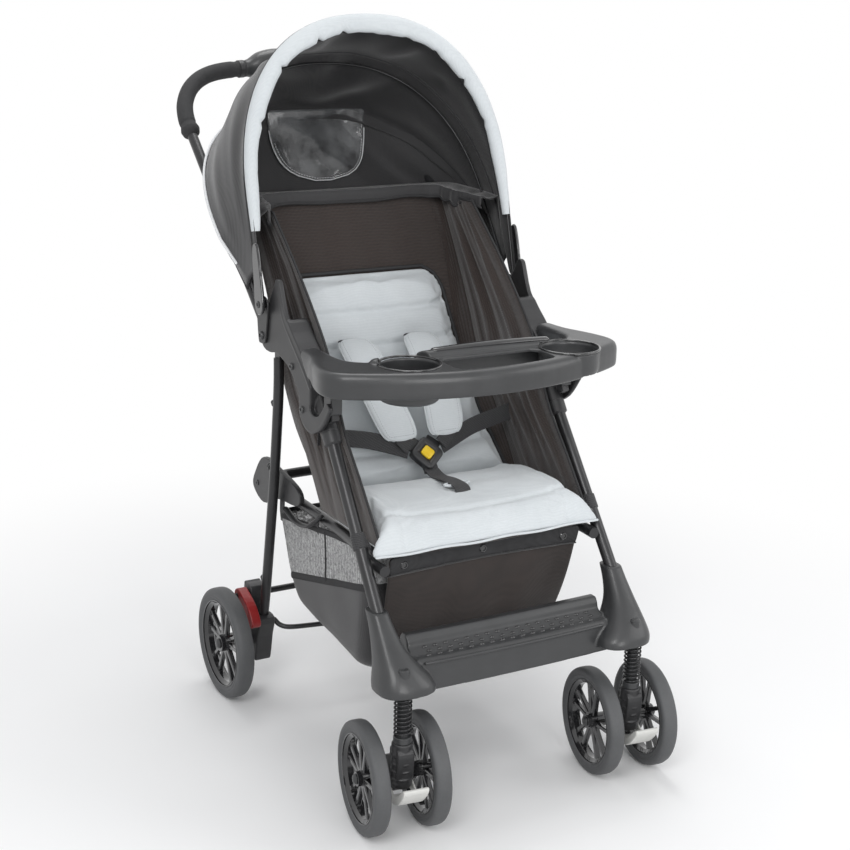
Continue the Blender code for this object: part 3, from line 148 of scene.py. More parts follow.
surface("pale_plastic", "pale_plastic", "pale plastic", (0.50, 0.50, 0.48), (0.68, 0.68, 0.65), 0.40, GRAIN, 0.2,
        0.0003, wear=0.15)
surface("red_plastic", "red_plastic", "red plastic", (0.20, 0.008, 0.009), (0.32, 0.018, 0.018), 0.36, GRAIN, 0.2,
        0.0003)
surface("yellow_plastic", "yellow_plastic", "yellow plastic", (0.80, 0.52, 0.01), (0.96, 0.68, 0.03), 0.34, GRAIN,
        0.2, 0.0003)
surface("pale_fabric", "pale_fabric", "pale cloth", (0.545, 0.580, 0.600), (0.680, 0.712, 0.728), 0.90,
        weave(190.0) + [("noise", 14.0, 0.5, 0.3), ("noise", 240.0, 0.3, 0.5)], 0.30, 0.0008, sheen=0.25)
surface("black_fabric", "black_fabric", "black cloth", (0.009, 0.009, 0.010), (0.028, 0.027, 0.029), 0.66,
        weave(210.0) + [("noise", 9.0, 0.6, 0.4), ("noise", 300.0, 0.3, 0.5)], 0.35, 0.0008, sheen=0.35)
surface("panel_cloth", "black_fabric", "panel cloth", (0.012, 0.009, 0.008), (0.036, 0.027, 0.024), 0.82,
        weave(200.0) + [("noise", 12.0, 0.6, 0.4)], 0.35, 0.0008, sheen=0.1)
surface("brown_mesh", "brown_mesh", "brown mesh", (0.011, 0.007, 0.006), (0.040, 0.026, 0.021), 0.85,
        weave(150.0, 0.25, 0.9) + [("noise", 8.0, 0.5, 0.3)], 0.5, 0.0010, sheen=0.35)
surface("grey_mesh", "grey_mesh", "open mesh", (0.26, 0.26, 0.26), (0.62, 0.62, 0.62), 0.85,
        [("Y", 60.0, 0.5, 0.6), ("noise", 90.0, 0.7, 0.5)], 0.5, 0.0010, alpha=("noise", 260.0, 0.35, 0.95))
surface("webbing", "webbing", "webbing", (0.010, 0.010, 0.011), (0.042, 0.042, 0.045), 0.66,
        [("DIAGONAL", 130.0, 0.5, 1.0), ("X", 200.0, 0.3, 0.5), ("noise", 40.0, 0.3, 0.2)], 0.55, 0.0008, sheen=0.1)
surface("white_trim", "white_trim", "white cord", (0.70, 0.71, 0.72), (0.88, 0.89, 0.90), 0.70,
        [("DIAGONAL", 160.0, 0.4, 0.9), ("noise", 30.0, 0.5, 0.2)], 0.4, 0.0005)
surface("dark_trim", "black_fabric", "dark binding", (0.013, 0.013, 0.014), (0.034, 0.034, 0.036), 0.80, TAPE, 0.4,
        0.0005)
surface("grey_trim", "pale_fabric", "grey binding", (0.28, 0.30, 0.32), (0.40, 0.42, 0.44), 0.80, TAPE, 0.4, 0.0005)
# Painted reflection: the film's pale tone, which shows where the alpha noise rises, stands for glare on the wavy film.
# Its dark tint is the film's own.
surface("clear_film", "clear_film", "clear film with painted glare", (0.05, 0.052, 0.055), (0.42, 0.43, 0.44), 0.06,
        [("noise", 9.0, 1.0, 1.0)], 0.8, 0.0040, coat=0.8, alpha=("noise", 22.0, 0.02, 0.50))


# Mesh helpers

def at(*numbers):
    return Vector(numbers)


def ripple(*spot):
    return noise.noise(Vector(spot))


def clip(value):
    return min(1.0, max(0.0, value))


def lerp(a, b, t):
    return a + (b - a) * t


def groove(distance, width):
    """A bell curve: 1 on the line, nearly 0 at twice the width from it."""
    return math.exp(-(distance / width) ** 2)


def make(name, points, faces, crease=CREASE):
    mesh = bpy.data.meshes.new(name)
    mesh.from_pydata([tuple(p) for p in points], [], faces)
    shape = bmesh.new()
    shape.from_mesh(mesh)
    bmesh.ops.recalc_face_normals(shape, faces=shape.faces)
    shape.to_mesh(mesh)
    shape.free()
    mesh.shade_smooth()
    mesh.set_sharp_from_angle(angle=math.radians(crease))
    piece = bpy.data.objects.new(name, mesh)
    bpy.context.collection.objects.link(piece)
    return piece


def dress(piece, body, look, *nodes):
    """Gives a piece its look's material, hides the imported nodes that it stands for and hangs it on the body that it
    rides on.
    """
    slot_name, material = LOOKS[look]
    piece.data.materials.clear()
    piece.data.materials.append(material)
    if nodes:
        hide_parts(*nodes)
    if body:
        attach(piece, body)
    return piece


def skin(rings, loop=False, start=0):
    """Points and faces over rings of equal length, with a cap at each end unless it closes on itself."""
    count = len(rings[0])
    points = [p for ring in rings for p in ring]
    faces = []
    for i in range(len(rings) if loop else len(rings) - 1):
        here = start + i * count
        there = start + ((i + 1) % len(rings)) * count
        faces += [(here + j, here + (j + 1) % count, there + (j + 1) % count, there + j) for j in range(count)]
    if not loop:
        end = start + len(points)
        faces += [tuple(range(start, start + count)), tuple(range(end - count, end))]
    return points, faces


def from_rings(name, rings, loop=False, crease=CREASE):
    return make(name, *skin(rings, loop), crease)


def several(name, shapes, crease=CREASE, closed=()):
    """One mesh from many lists of rings. The closed ones, which come first, close on themselves."""
    points, faces = [], []
    for rings in (*closed, *shapes):
        more, sides = skin(rings, any(rings is other for other in closed), len(points))
        points += more
        faces += sides
    return make(name, points, faces, crease)


def around(sides):
    """The angles of equal steps round a circle."""
    return [math.tau * k / sides for k in range(sides)]


def circle(centre, across, up, radius, sides, flat=1.0):
    return [centre + across * (radius * math.cos(a)) + up * (radius * flat * math.sin(a)) for a in around(sides)]


def neighbours(path, i):
    """The points before and after the one at i, or that one itself at an end."""
    return path[max(i - 1, 0)], path[min(i + 1, len(path) - 1)]


def heading(path, i):
    before, after = neighbours(path, i)
    return (after - before).normalized()


def frames_along(path, hint):
    """Two unit vectors across the path at each point, carried along without twist."""
    frames = []
    across = Vector(hint)
    for i in range(len(path)):
        along = heading(path, i)
        across = (across - along * across.dot(along)).normalized()
        frames.append((across, along.cross(across).normalized()))
    return frames


def tube_rings(path, radius, sides, hint=(1, 0, 0), flat=1.0, round_ends=False):
    """Rings of a round bar. The radius is a number or a function of the share of the way along."""
    path = [Vector(p) for p in path]
    last = len(path) - 1
    radii = [radius(i / last) if callable(radius) else radius for i in range(last + 1)]
    frames = frames_along(path, hint)
    rings = [circle(p, a, b, r, sides, flat) for p, r, (a, b) in zip(path, radii, frames)]
    if round_ends:
        for end, step in ((0, 1), (-1, -1)):
            out = (path[end] - path[end + step]).normalized()
            a, b = frames[end]
            caps = [circle(path[end] + out * (radii[end] * math.sin(t)), a, b, radii[end] * math.cos(t), sides, flat)
                    for t in (0.5, 0.95, 1.35)]
            rings = caps[::-1] + rings if end == 0 else rings + caps
    return rings


def tube(name, path, radius, sides, hint=(1, 0, 0), flat=1.0, round_ends=False):
    return from_rings(name, tube_rings(path, radius, sides, hint, flat, round_ends))


def piping(name, line, radius, sides, hint, flat, body, look="dark_trim"):
    """A bead with round ends along a line, such as a hem, a seam or a binding."""
    return dress(tube(name, line, radius, sides, hint, flat, True), body, look)


def loop_piping(name, line, middle, radius, body, look):
    """A round bead along a closed line that goes round a point."""
    rings = [circle(p, (p - at(*middle, p.z)).normalized(), UP, radius, 10) for p in line]
    return dress(from_rings(name, rings, True), body, look)


def turned_rings(profile, centre, axis, sides):
    """Rings of a turned body, from a profile of (radius, height along the axis)."""
    axis = Vector(axis).normalized()
    hint = UP if abs(axis.z) < 0.9 else at(1, 0, 0)
    across = (hint - axis * hint.dot(axis)).normalized()
    up = axis.cross(across)
    return [circle(Vector(centre) + axis * h, across, up, max(r, 0.0002), sides) for r, h in profile]


def turned(name, profile, centre, axis, sides):
    return from_rings(name, turned_rings(profile, centre, axis, sides))


def prism_rings(outline, low, high, axis="X", edge=0.0):
    """An outline pulled out along X, where it is (y, z), or Z, where it is (x, y), with its edges broken."""
    middle = [sum(p[k] for p in outline) / len(outline) for k in (0, 1)]
    rings = []
    for h, inset in ((low, edge), (low + edge, 0.0), (high - edge, 0.0), (high, edge)):
        ring = []
        for a, b in outline:
            away = math.hypot(a - middle[0], b - middle[1]) or 1.0
            k = 1 - inset / away
            a2, b2 = middle[0] + (a - middle[0]) * k, middle[1] + (b - middle[1]) * k
            ring.append(at(h, a2, b2) if axis == "X" else at(a2, b2, h))
        rings.append(ring)
    return rings


def slab(outline, sign, near, far, edge):
    """A plate on one side of the stroller, from near to far from its centre plane."""
    return prism_rings(outline, *sorted((sign * near, sign * far)), "X", edge)


def rectangle(x0, y0, x1, y1):
    return [(x0, y0), (x1, y0), (x1, y1), (x0, y1)]


def mirrored(half):
    """Points on both sides of the centre plane, from the left half of a line that ends on it."""
    return [(-x, y, z) for x, y, z in half] + half[-2::-1]


def spline(knots, steps, closed=False):
    """Points along a Catmull-Rom curve through the knots."""
    count = len(knots)
    ends = [knots[-1], *knots, knots[0], knots[1]] if closed else [knots[0], *knots, knots[-1]]
    points = []
    for i in range(count if closed else count - 1):
        a, b, c, d = ends[i:i + 4]
        for k in range(steps):
            t = k / steps
            w = (-0.5 * t + t * t - 0.5 * t ** 3, 1 - 2.5 * t * t + 1.5 * t ** 3,
                 0.5 * t + 2 * t * t - 1.5 * t ** 3, -0.5 * t * t + 0.5 * t ** 3)
            points.append(tuple(sum(x * p[n] for x, p in zip(w, (a, b, c, d))) for n in range(len(b))))
    if not closed:
        points.append(tuple(knots[-1]))
    return points


def modifier(piece, kind, **settings):
    made = piece.modifiers.new(kind.lower(), kind)
    for key, value in settings.items():
        setattr(made, key, value)
    return made


def applied(piece):
    """Makes what the modifiers show the piece's own mesh."""
    bpy.context.view_layer.update()
    mesh = bpy.data.meshes.new_from_object(piece.evaluated_get(bpy.context.evaluated_depsgraph_get()))
    piece.modifiers.clear()
    piece.data = mesh
    return piece


def cut(piece, tools, operation="DIFFERENCE"):
    for tool in tools:
        modifier(piece, "BOOLEAN", operation=operation, solver="EXACT", object=tool)
    applied(piece)
    for tool in tools:
        bpy.data.objects.remove(tool, do_unlink=True)


def moulded(piece, voxel, rounds):
    """Melts overlapping shapes into one moulded skin with soft edges."""
    modifier(piece, "REMESH", mode="VOXEL", voxel_size=voxel)
    modifier(piece, "SMOOTH", factor=0.5, iterations=rounds)
    applied(piece)
    piece.data.shade_smooth()
    return piece


def moved(piece, matrix):
    piece.data.transform(matrix)
    return piece


def subdivided(piece):
    modifier(piece, "SUBSURF", levels=1, render_levels=1)
    return piece


def quads(rows, columns):
    return [(i * columns + j, i * columns + j + 1, (i + 1) * columns + j + 1, (i + 1) * columns + j)
            for i in range(rows - 1) for j in range(columns - 1)]


def grid_sheet(name, grid, thickness):
    """An open sheet on a grid of rows, with a little thickness."""
    points = [p for row in grid for p in row]
    piece = subdivided(make(name, points, quads(len(grid), len(grid[0])), CLOTH_CREASE))
    modifier(piece, "SOLIDIFY", thickness=thickness, offset=0.0)
    return piece


def normals_of(grid):
    rows, columns = len(grid), len(grid[0])
    return [[(grid[i][min(j + 1, columns - 1)] - grid[i][max(j - 1, 0)]).cross(
        grid[min(i + 1, rows - 1)][j] - grid[max(i - 1, 0)][j]).normalized() for j in range(columns)]
        for i in range(rows)]


def flat_row(half, y, z, columns):
    """A level row of points from -half to half across."""
    return [at(half * (2 * j / (columns - 1) - 1), y, z) for j in range(columns)]


def pad_mesh(name, grid, front, back):
    """A closed pad on a grid. Front and back give its two offsets from row and column."""
    rows, columns = len(grid), len(grid[0])
    normals = normals_of(grid)
    points = [grid[i][j] + normals[i][j] * (sign * offset(i, j)) for sign, offset in ((1.0, front), (-1.0, back))
              for i in range(rows) for j in range(columns)]
    faces = []
    for ring in quads(rows, columns):
        faces += [ring, tuple(rows * columns + k for k in reversed(ring))]
    border = [j for j in range(columns)] + [i * columns + columns - 1 for i in range(1, rows)]
    border += [(rows - 1) * columns + j for j in range(columns - 2, -1, -1)]
    border += [i * columns for i in range(rows - 2, 0, -1)]
    for here, there in zip(border, border[1:] + border[:1]):
        faces.append((here, there, rows * columns + there, rows * columns + here))
    return make(name, points, faces, CLOTH_CREASE)


def puffed(piece, voxel, cap, facing):
    """Fills a closed pad like a cushion: a cloth with pressure, held within a cap and off its flat side."""
    modifier(piece, "REMESH", mode="VOXEL", voxel_size=voxel)
    applied(piece)
    before = [(v.co.copy(), clip(0.4 + v.normal.dot(Vector(facing)))) for v in piece.data.vertices]
    cloth = piece.modifiers.new("cloth", "CLOTH").settings
    cloth.use_pressure, cloth.uniform_pressure_force, cloth.quality = True, 4.0, 5
    cloth.effector_weights.gravity = 0.0
    for step in range(1, 21):
        bpy.context.scene.frame_set(step)
    applied(piece)
    for vertex, (old, free) in zip(piece.data.vertices, before):
        move = vertex.co - old
        vertex.co = old + move * (free * min(1.0, cap / max(move.length, 1e-9)))
    bpy.context.scene.frame_set(1)
    piece.data.shade_smooth()
    return piece


def pressed(piece, offset):
    """Moves each point along its own normal by offset(point, normal)."""
    normals = [v.normal.copy() for v in piece.data.vertices]
    for vertex, normal in zip(piece.data.vertices, normals):
        vertex.co += normal * offset(vertex.co, normal)


def stitches(name, path, normals, body, look, pitch, length, radius):
    """A row of short threads lying along a path."""
    shapes = []
    travelled = 0.0
    next_at = pitch / 2
    for i in range(len(path) - 1):
        step = path[i + 1] - path[i]
        size = step.length
        if size < 1e-7:
            continue
        along = step / size
        while next_at < travelled + size:
            centre = path[i] + along * (next_at - travelled)
            up = Vector(normals[i]).normalized()
            side = along.cross(up).normalized()
            shapes.append([circle(centre + along * (length * t) + up * (radius * (0.9 - 4.0 * t * t * 0.6)), side, up,
                                  radius * r, 6)
                           for t, r in ((-0.5, 0.3), (-0.3, 0.9), (0.0, 1.0), (0.3, 0.9), (0.5, 0.3))])
            next_at += pitch
        travelled += size
    return dress(several(name, shapes), body, look)


def bolts(name, places, sign, radius, height, body):
    """Domed heads with a round socket, on the outside of a part."""
    profile = [(radius, -0.0005), (radius, height * 0.45), (radius * 0.86, height * 0.85), (radius * 0.55, height),
               (radius * 0.46, height * 0.96), (radius * 0.42, height * 0.35), (0.0003, height * 0.30)]
    dress(several(name, [turned_rings(profile, place, (sign, 0, 0), 24) for place in places]), body, "satin")


# Frame tubes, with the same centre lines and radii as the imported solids

FOLD_AXIS, HOOD_AXIS, MID_BOW_AXIS, BRAKE_AXIS = (0.0115, 0.608), (0.0015, 0.656), (0.0195, 0.650), (0.1265, 0.160)
LEG_R, REAR_LEG_R, HANDLE_R, HANDLE_X = 0.009, 0.00775, 0.008, 0.190
LEG_ACROSS = (at(1, 0, 0), at(0, 0.806, -0.592))
REAR_LEG_KNOTS = [(0.1835, 0.01, 0.572), (0.185, 0.0085, 0.52), (0.181, 0.0295, 0.41), (0.177, 0.0535, 0.31),
                  (0.174, 0.0825, 0.18), (0.1715, 0.1038, 0.1055)]
HANDLE_KNOTS = [(HANDLE_X, 0.045, 0.618), (HANDLE_X, 0.15, 0.711), (HANDLE_X, 0.281, 0.828), (HANDLE_X, 0.326, 0.868),
                (0.1885, 0.348, 0.8875), (0.181, 0.369, 0.9065), (0.164, 0.39, 0.926), (0.1385, 0.407, 0.941),
                (0.106, 0.4165, 0.95), (0.06, 0.421, 0.954), (0.0, 0.421, 0.954)]
HANDLE_STEPS, GRIP_FIRST, GRIP_LAST = 6, 3, 9
SEAT_TUBE = [(0.1707, -0.301, 0.346), (0.1707, -0.25, 0.346), (0.153, -0.15, 0.346), (0.15, 0.08, 0.346),
             (0.143, 0.113, 0.346), (0.122, 0.134, 0.346), (0.09, 0.14, 0.346)]
CROSS_ROD = [(0.1586, 0.0945, 0.123), (0.1545, 0.0945, 0.123), (0.148, 0.089, 0.115), (0.135, 0.081, 0.1115),
             (0.1, 0.072, 0.1115), (0.05, 0.064, 0.1115), (0.0, 0.061, 0.1115)]


def front_leg_point(z, sign):
    run = (z - 0.293) / 0.219
    return at(sign * (0.191 - 0.005 * run), -0.3225 + 0.161 * run, z)


def leg_band(table, sign, sides):
    """Rings round the front leg, from rows of (height, growth over the leg's radius)."""
    return [circle(front_leg_point(z, sign), *LEG_ACROSS, LEG_R + grow, sides) for z, grow in table]


def tang_rings(direction, length, layer, sign):
    """The flattened end of a tube at the fold axis."""
    width = 0.0085
    along = at(0, *direction).normalized()
    across = at(0, -along.z, along.y)
    centre = at(0, *FOLD_AXIS)
    outline = [centre + across * width, centre + along * length + across * width,
               centre + along * length - across * width]
    for k in range(13):
        turn = math.pi * k / 12
        outline.append(centre - across * (width * math.cos(turn)) - along * (width * math.sin(turn)))
    return slab([(p.y, p.z) for p in outline], sign, *layer, 0.0006)


def grip_radius(share):
    lip = 0.0016 * groove(share, 0.018) + 0.0008 * groove(share - 1.0, 0.012)
    dip = 0.001 * groove(share - 0.05, 0.016) + 0.001 * groove(share - 0.955, 0.016)
    return 0.0134 + lip - dip - 0.0004 * math.sin(math.pi * share)


def make_tubes():
    half = spline(HANDLE_KNOTS, HANDLE_STEPS)
    shapes = [tube_rings(mirrored(half), HANDLE_R, 24)]
    aim = (HANDLE_KNOTS[0][1] + 0.00525 - FOLD_AXIS[0], HANDLE_KNOTS[0][2] + 0.00465 - FOLD_AXIS[1])
    for side, sign in SIDES:
        ends = [front_leg_point(0.268 + 0.32 * k / 8, sign) for k in range(9)]
        dress(tube(f"front_leg_tube_{side}", ends, LEG_R, 28), "front_frame", "frame_tube", f"front_leg_{side}")
        path = [(sign * x, y, z) for x, y, z in spline(REAR_LEG_KNOTS, 8)]
        leg = [tube_rings(path, REAR_LEG_R, 24), tang_rings((0.0, -1.0), 0.044, (0.1795, 0.1855), sign)]
        dress(several(f"rear_leg_tube_{side}", leg), "rear_frame", "frame_tube", f"rear_leg_{side}")
        rivets = []
        for z, share in ((0.498, 0.115), (0.394, 0.345), (0.196, 0.8)):
            x = path[round(share * (len(path) - 1))][0]
            y = float(np.interp(z, [p[2] for p in path[::-1]], [p[1] for p in path[::-1]]))
            rivets.append(turned_rings([(0.005, 0.0), (0.0052, 0.0025), (0.0034, 0.003), (0.0034, 0.006),
                                        (0.0042, 0.0062), (0.0036, 0.0085), (0.0005, 0.0095)],
                                       at(x, y, z) + at(sign * 0.001, 0.0066, 0.0018), (0, 1.0, 0.25), 20))
        dress(several(f"rear_leg_studs_{side}", rivets), "rear_frame", "satin")
        band = leg_band([(0.4905, 0.0006), (0.4925, 0.0036), (0.506, 0.0042), (0.508, 0.0006)], sign, 28)
        dress(from_rings(f"leg_collar_{side}", band), "front_frame", "black_plastic")
        shapes.append(tang_rings(aim, 0.041, (0.1866, 0.193), sign))
        line = [(sign * x, y, z) for x, y, z in half[GRIP_FIRST * HANDLE_STEPS:GRIP_LAST * HANDLE_STEPS + 1]]
        piece = tube(f"foam_grip_{side}", spline(line, 3), grip_radius, 28, round_ends=True)
        dress(piece, "handle", "grip_foam", f"grip_{side}")
        collar = [(sign * 0.061, 0.4209, 0.9539), (sign * 0.064, 0.4208, 0.9538), (sign * 0.068, 0.4206, 0.9535)]
        dress(tube(f"grip_collar_{side}", collar, 0.0142, 28), "handle", "black_plastic")
    dress(several("handle_bar", shapes), "handle", "frame_tube", "handle_tube")
    path = spline([(-x, y, z) for x, y, z in SEAT_TUBE] + SEAT_TUBE[::-1], 6)
    dress(tube("seat_tube_bar", path, HANDLE_R, 22, UP), "front_frame", "frame_tube", "seat_tube")
    dress(tube("rear_cross_rod", spline(mirrored(CROSS_ROD), 4), 0.004, 16, UP), "rear_frame", "frame_tube",
          "rear_crossbar")
    ends = [(0.0035, -0.2062), (0.005, -0.205), (0.005, -0.18), (0.005, 0.18), (0.005, 0.205), (0.0035, 0.2062)]
    dress(turned("brake_rod", ends, (0, *BRAKE_AXIS), (1, 0, 0), 20), "brake", "frame_tube", "brake_bar")


# Moulded parts

CHEEK_OUTLINE = [
    (-0.024, 0.69), (-0.006, 0.662), (0.016, 0.632), (0.0265, 0.606), (0.015, 0.59), (-0.006, 0.5865), (-0.031, 0.59),
    (-0.068, 0.58), (-0.093, 0.562), (-0.106, 0.545), (-0.106, 0.522), (-0.122, 0.505), (-0.145, 0.501),
    (-0.176, 0.516), (-0.199, 0.547), (-0.191, 0.556), (-0.17, 0.534), (-0.151, 0.529), (-0.139, 0.54),
    (-0.1385, 0.583), (-0.108, 0.612), (-0.084, 0.631), (-0.059, 0.652), (-0.042, 0.69), (-0.036, 0.697),
    (-0.029, 0.697),
]
FLANK_OUTLINE = [
    (-0.046, 0.604), (-0.068, 0.581), (-0.093, 0.563), (-0.106, 0.546), (-0.109, 0.528), (-0.139, 0.53),
    (-0.1385, 0.583), (-0.108, 0.612), (-0.084, 0.631), (-0.066, 0.6455), (-0.054, 0.638),
]
CHEEK_RIDGE = [(-0.146, 0.572), (-0.128, 0.59), (-0.104, 0.61), (-0.08, 0.63), (-0.058, 0.65), (-0.04, 0.684)]
CHEEK_LIP = [(-0.2, 0.548), (-0.176, 0.518), (-0.146, 0.503), (-0.124, 0.506)]
HOOD_PLATE = [(0.023, 0.601), (0.029, 0.648), (0.025, 0.659), (0.008, 0.6665), (-0.007, 0.661), (-0.0085, 0.648),
              (-0.001, 0.606), (0.005, 0.598), (0.015, 0.596)]


def make_brackets():
    for side, sign in SIDES:
        ridge = [(sign * 0.2035, y + 0.006, z - 0.006) for y, z in spline(CHEEK_RIDGE, 4)]
        lip = [(sign * 0.203, y, z + 0.002) for y, z in spline(CHEEK_LIP, 4)]
        shapes = [slab(spline(CHEEK_OUTLINE, 3, True), sign, 0.199, 0.206, 0.0008),
                  slab(spline(FLANK_OUTLINE, 3, True), sign, 0.1735, 0.206, 0.0012),
                  tube_rings([front_leg_point(z, sign) for z in (0.506, 0.54, 0.575)], LEG_R + 0.0035, 24),
                  tube_rings(ridge, lambda t: 0.004 - 0.001 * t, 12, UP, round_ends=True),
                  tube_rings(lip, 0.0034, 12, UP, round_ends=True)]
        piece = moulded(several(f"bracket_shell_{side}", shapes), 0.0011, 5)
        dress(piece, "front_frame", "black_plastic", f"bracket_{side}")
        spots = [(sign * 0.206, y, z) for y, z in ((-0.0825, 0.583), (-0.1165, 0.529))]
        bolts(f"bracket_bolts_{side}", spots, sign, 0.0052, 0.0028, "front_frame")
        # The pivot bolts stand on the hood plate and turn with the handle.
        bolts(f"fold_bolt_{side}", [(sign * 0.2098, *FOLD_AXIS)], sign, 0.0062, 0.0032, "handle")
        bolts(f"hood_bolt_{side}", [(sign * 0.2146, *HOOD_AXIS)], sign, 0.005, 0.0026, "hood_front")
        pin = [turned_rings(profile, (sign * 0.2066, *FOLD_AXIS), (sign, 0, 0), 20) for profile in (
            [(0.0035, -0.0335), (0.0035, 0.001)], [(0.005, -0.0335), (0.0055, -0.0325), (0.0055, -0.0278)])]
        shapes = [slab(spline(HOOD_PLATE, 4, True), sign, 0.2066, 0.2098, 0.0006), *pin]
        dress(several(f"hood_plate_{side}", shapes), "handle", "black_plastic", f"canopy_mount_{side}")


STEP_SECTION = [
    (-0.316, 0.226), (-0.318, 0.258), (-0.323, 0.264), (-0.334, 0.264), (-0.339, 0.257), (-0.341, 0.249),
    (-0.354, 0.2405), (-0.3635, 0.2385), (-0.3675, 0.233), (-0.37, 0.194), (-0.364, 0.194), (-0.36, 0.23),
    (-0.345, 0.236), (-0.326, 0.24), (-0.322, 0.226),
]
# Rows of centre x, y, z and the half widths across and along
SOCKET_RINGS = [
    (0.1755, -0.368, 0.2052, 0.042, 0.037), (0.178, -0.367, 0.218, 0.04, 0.036), (0.184, -0.359, 0.238, 0.029, 0.031),
    (0.189, -0.345, 0.26, 0.02, 0.0235), (0.1905, -0.33, 0.282, 0.0155, 0.0185),
    (0.1912, -0.316, 0.301, 0.0135, 0.0165),
]


def oval(centre, half_x, half_y, power, count):
    ring = []
    for turn in around(count):
        c, s = math.cos(turn), math.sin(turn)
        ring.append(at(centre[0] + half_x * math.copysign(abs(c) ** (2 / power), c),
                       centre[1] + half_y * math.copysign(abs(s) ** (2 / power), s), centre[2]))
    return ring


def step_bow(share, y):
    """How far the front of the step bows out, at a share of its half width."""
    return 0.004 * (1 - share ** 2) * min(max(0.0, (-0.345 - y) / 0.025), 1.0)


def make_footrest():
    rings = []
    for i in range(33):
        station = 2 * i / 32 - 1
        dip = 0.0016 * (1 - station ** 2)
        rings.append([at(station * 0.156, y - step_bow(station, y), z - (dip if z > 0.25 else 0.0))
                      for y, z in STEP_SECTION])
    shapes = [rings]
    for side, sign in SIDES:
        shapes.append([oval((sign * x, y, z), w, d, 2.6, 40) for x, y, z, w, d in spline(SOCKET_RINGS, 5)])
    dress(moulded(several("footrest_shell", shapes), 0.0016, 7), "front_frame", "satin", "footrest")
    studs = []
    for y, z, shift in ((-0.3445, 0.247, 0.0), (-0.3505, 0.2433, 0.004), (-0.3568, 0.2401, 0.0)):
        for k in range(-8, 9):
            x = k * 0.0165 + shift
            foot = at(x, y - step_bow(x / 0.15, y), z)
            studs.append([[foot + at(0, -0.5, 0.866) * h + at(0.0042 * r * math.cos(a), 0.002 * r * math.sin(a) * 0.9,
                                                              0.002 * r * math.sin(a) * 0.5) for a in around(14)]
                          for h, r in ((-0.0006, 1.0), (0.0003, 0.96), (0.0009, 0.75), (0.0012, 0.4), (0.0013, 0.05))])
    dress(several("footrest_studs", studs), "front_frame", "gloss")
    # The scuffed front edge catches the light.
    line = [(x, -0.369 - 0.004 * (1 - (x / 0.15) ** 2), 0.2345) for x in np.linspace(-0.143, 0.143, 25)]
    piping("footrest_edge", line, 0.0022, 12, UP, 1.0, "front_frame", "satin")


CASTER_X, CASTER_Y, CASTER_TRAIL = 0.187, -0.387, 0.0285
CASTER_YAW = math.radians(-7.4)
FRONT_WHEEL_R, REAR_WHEEL_R, REAR_AXLE_Y = 0.0785, 0.088, 0.12
SPRING_LOW, SPRING_HIGH, SPRING_SEAT, SPRING_R = 0.1494, 0.2033, 0.2052, 0.011
CASTER_OUTLINE = [
    (-0.013, 0.13), (-0.015, 0.11), (-0.0125, 0.09), (-0.001, 0.07), (0.015, 0.06), (0.032, 0.0585), (0.045, 0.068),
    (0.049, 0.084), (0.043, 0.099), (0.028, 0.109), (0.016, 0.116), (0.012, 0.13),
]
LEVER_TOE = [(-0.0035, 0.06), (-0.013, 0.056), (-0.034, 0.065), (-0.054, 0.088), (-0.0505, 0.0945), (-0.033, 0.0785),
             (-0.0165, 0.07), (-0.006, 0.066)]
STEM_PROFILE = [(0.0052, 0.113), (0.0052, 0.1385), (0.0118, 0.1385), (0.0125, 0.1392), (0.0125, 0.1468),
                (0.0118, 0.1475), (0.008, 0.1475), (0.008, 0.241), (0.006, 0.243)]
FRONT_CAP = [(0.0068, 0.0112), (0.0072, 0.0125), (0.006, 0.0147), (0.0035, 0.016), (0.0004, 0.0164)]
REAR_CAP = [(0.0075, 0.0112), (0.008, 0.0128), (0.0066, 0.015), (0.0038, 0.0162), (0.0004, 0.0166)]


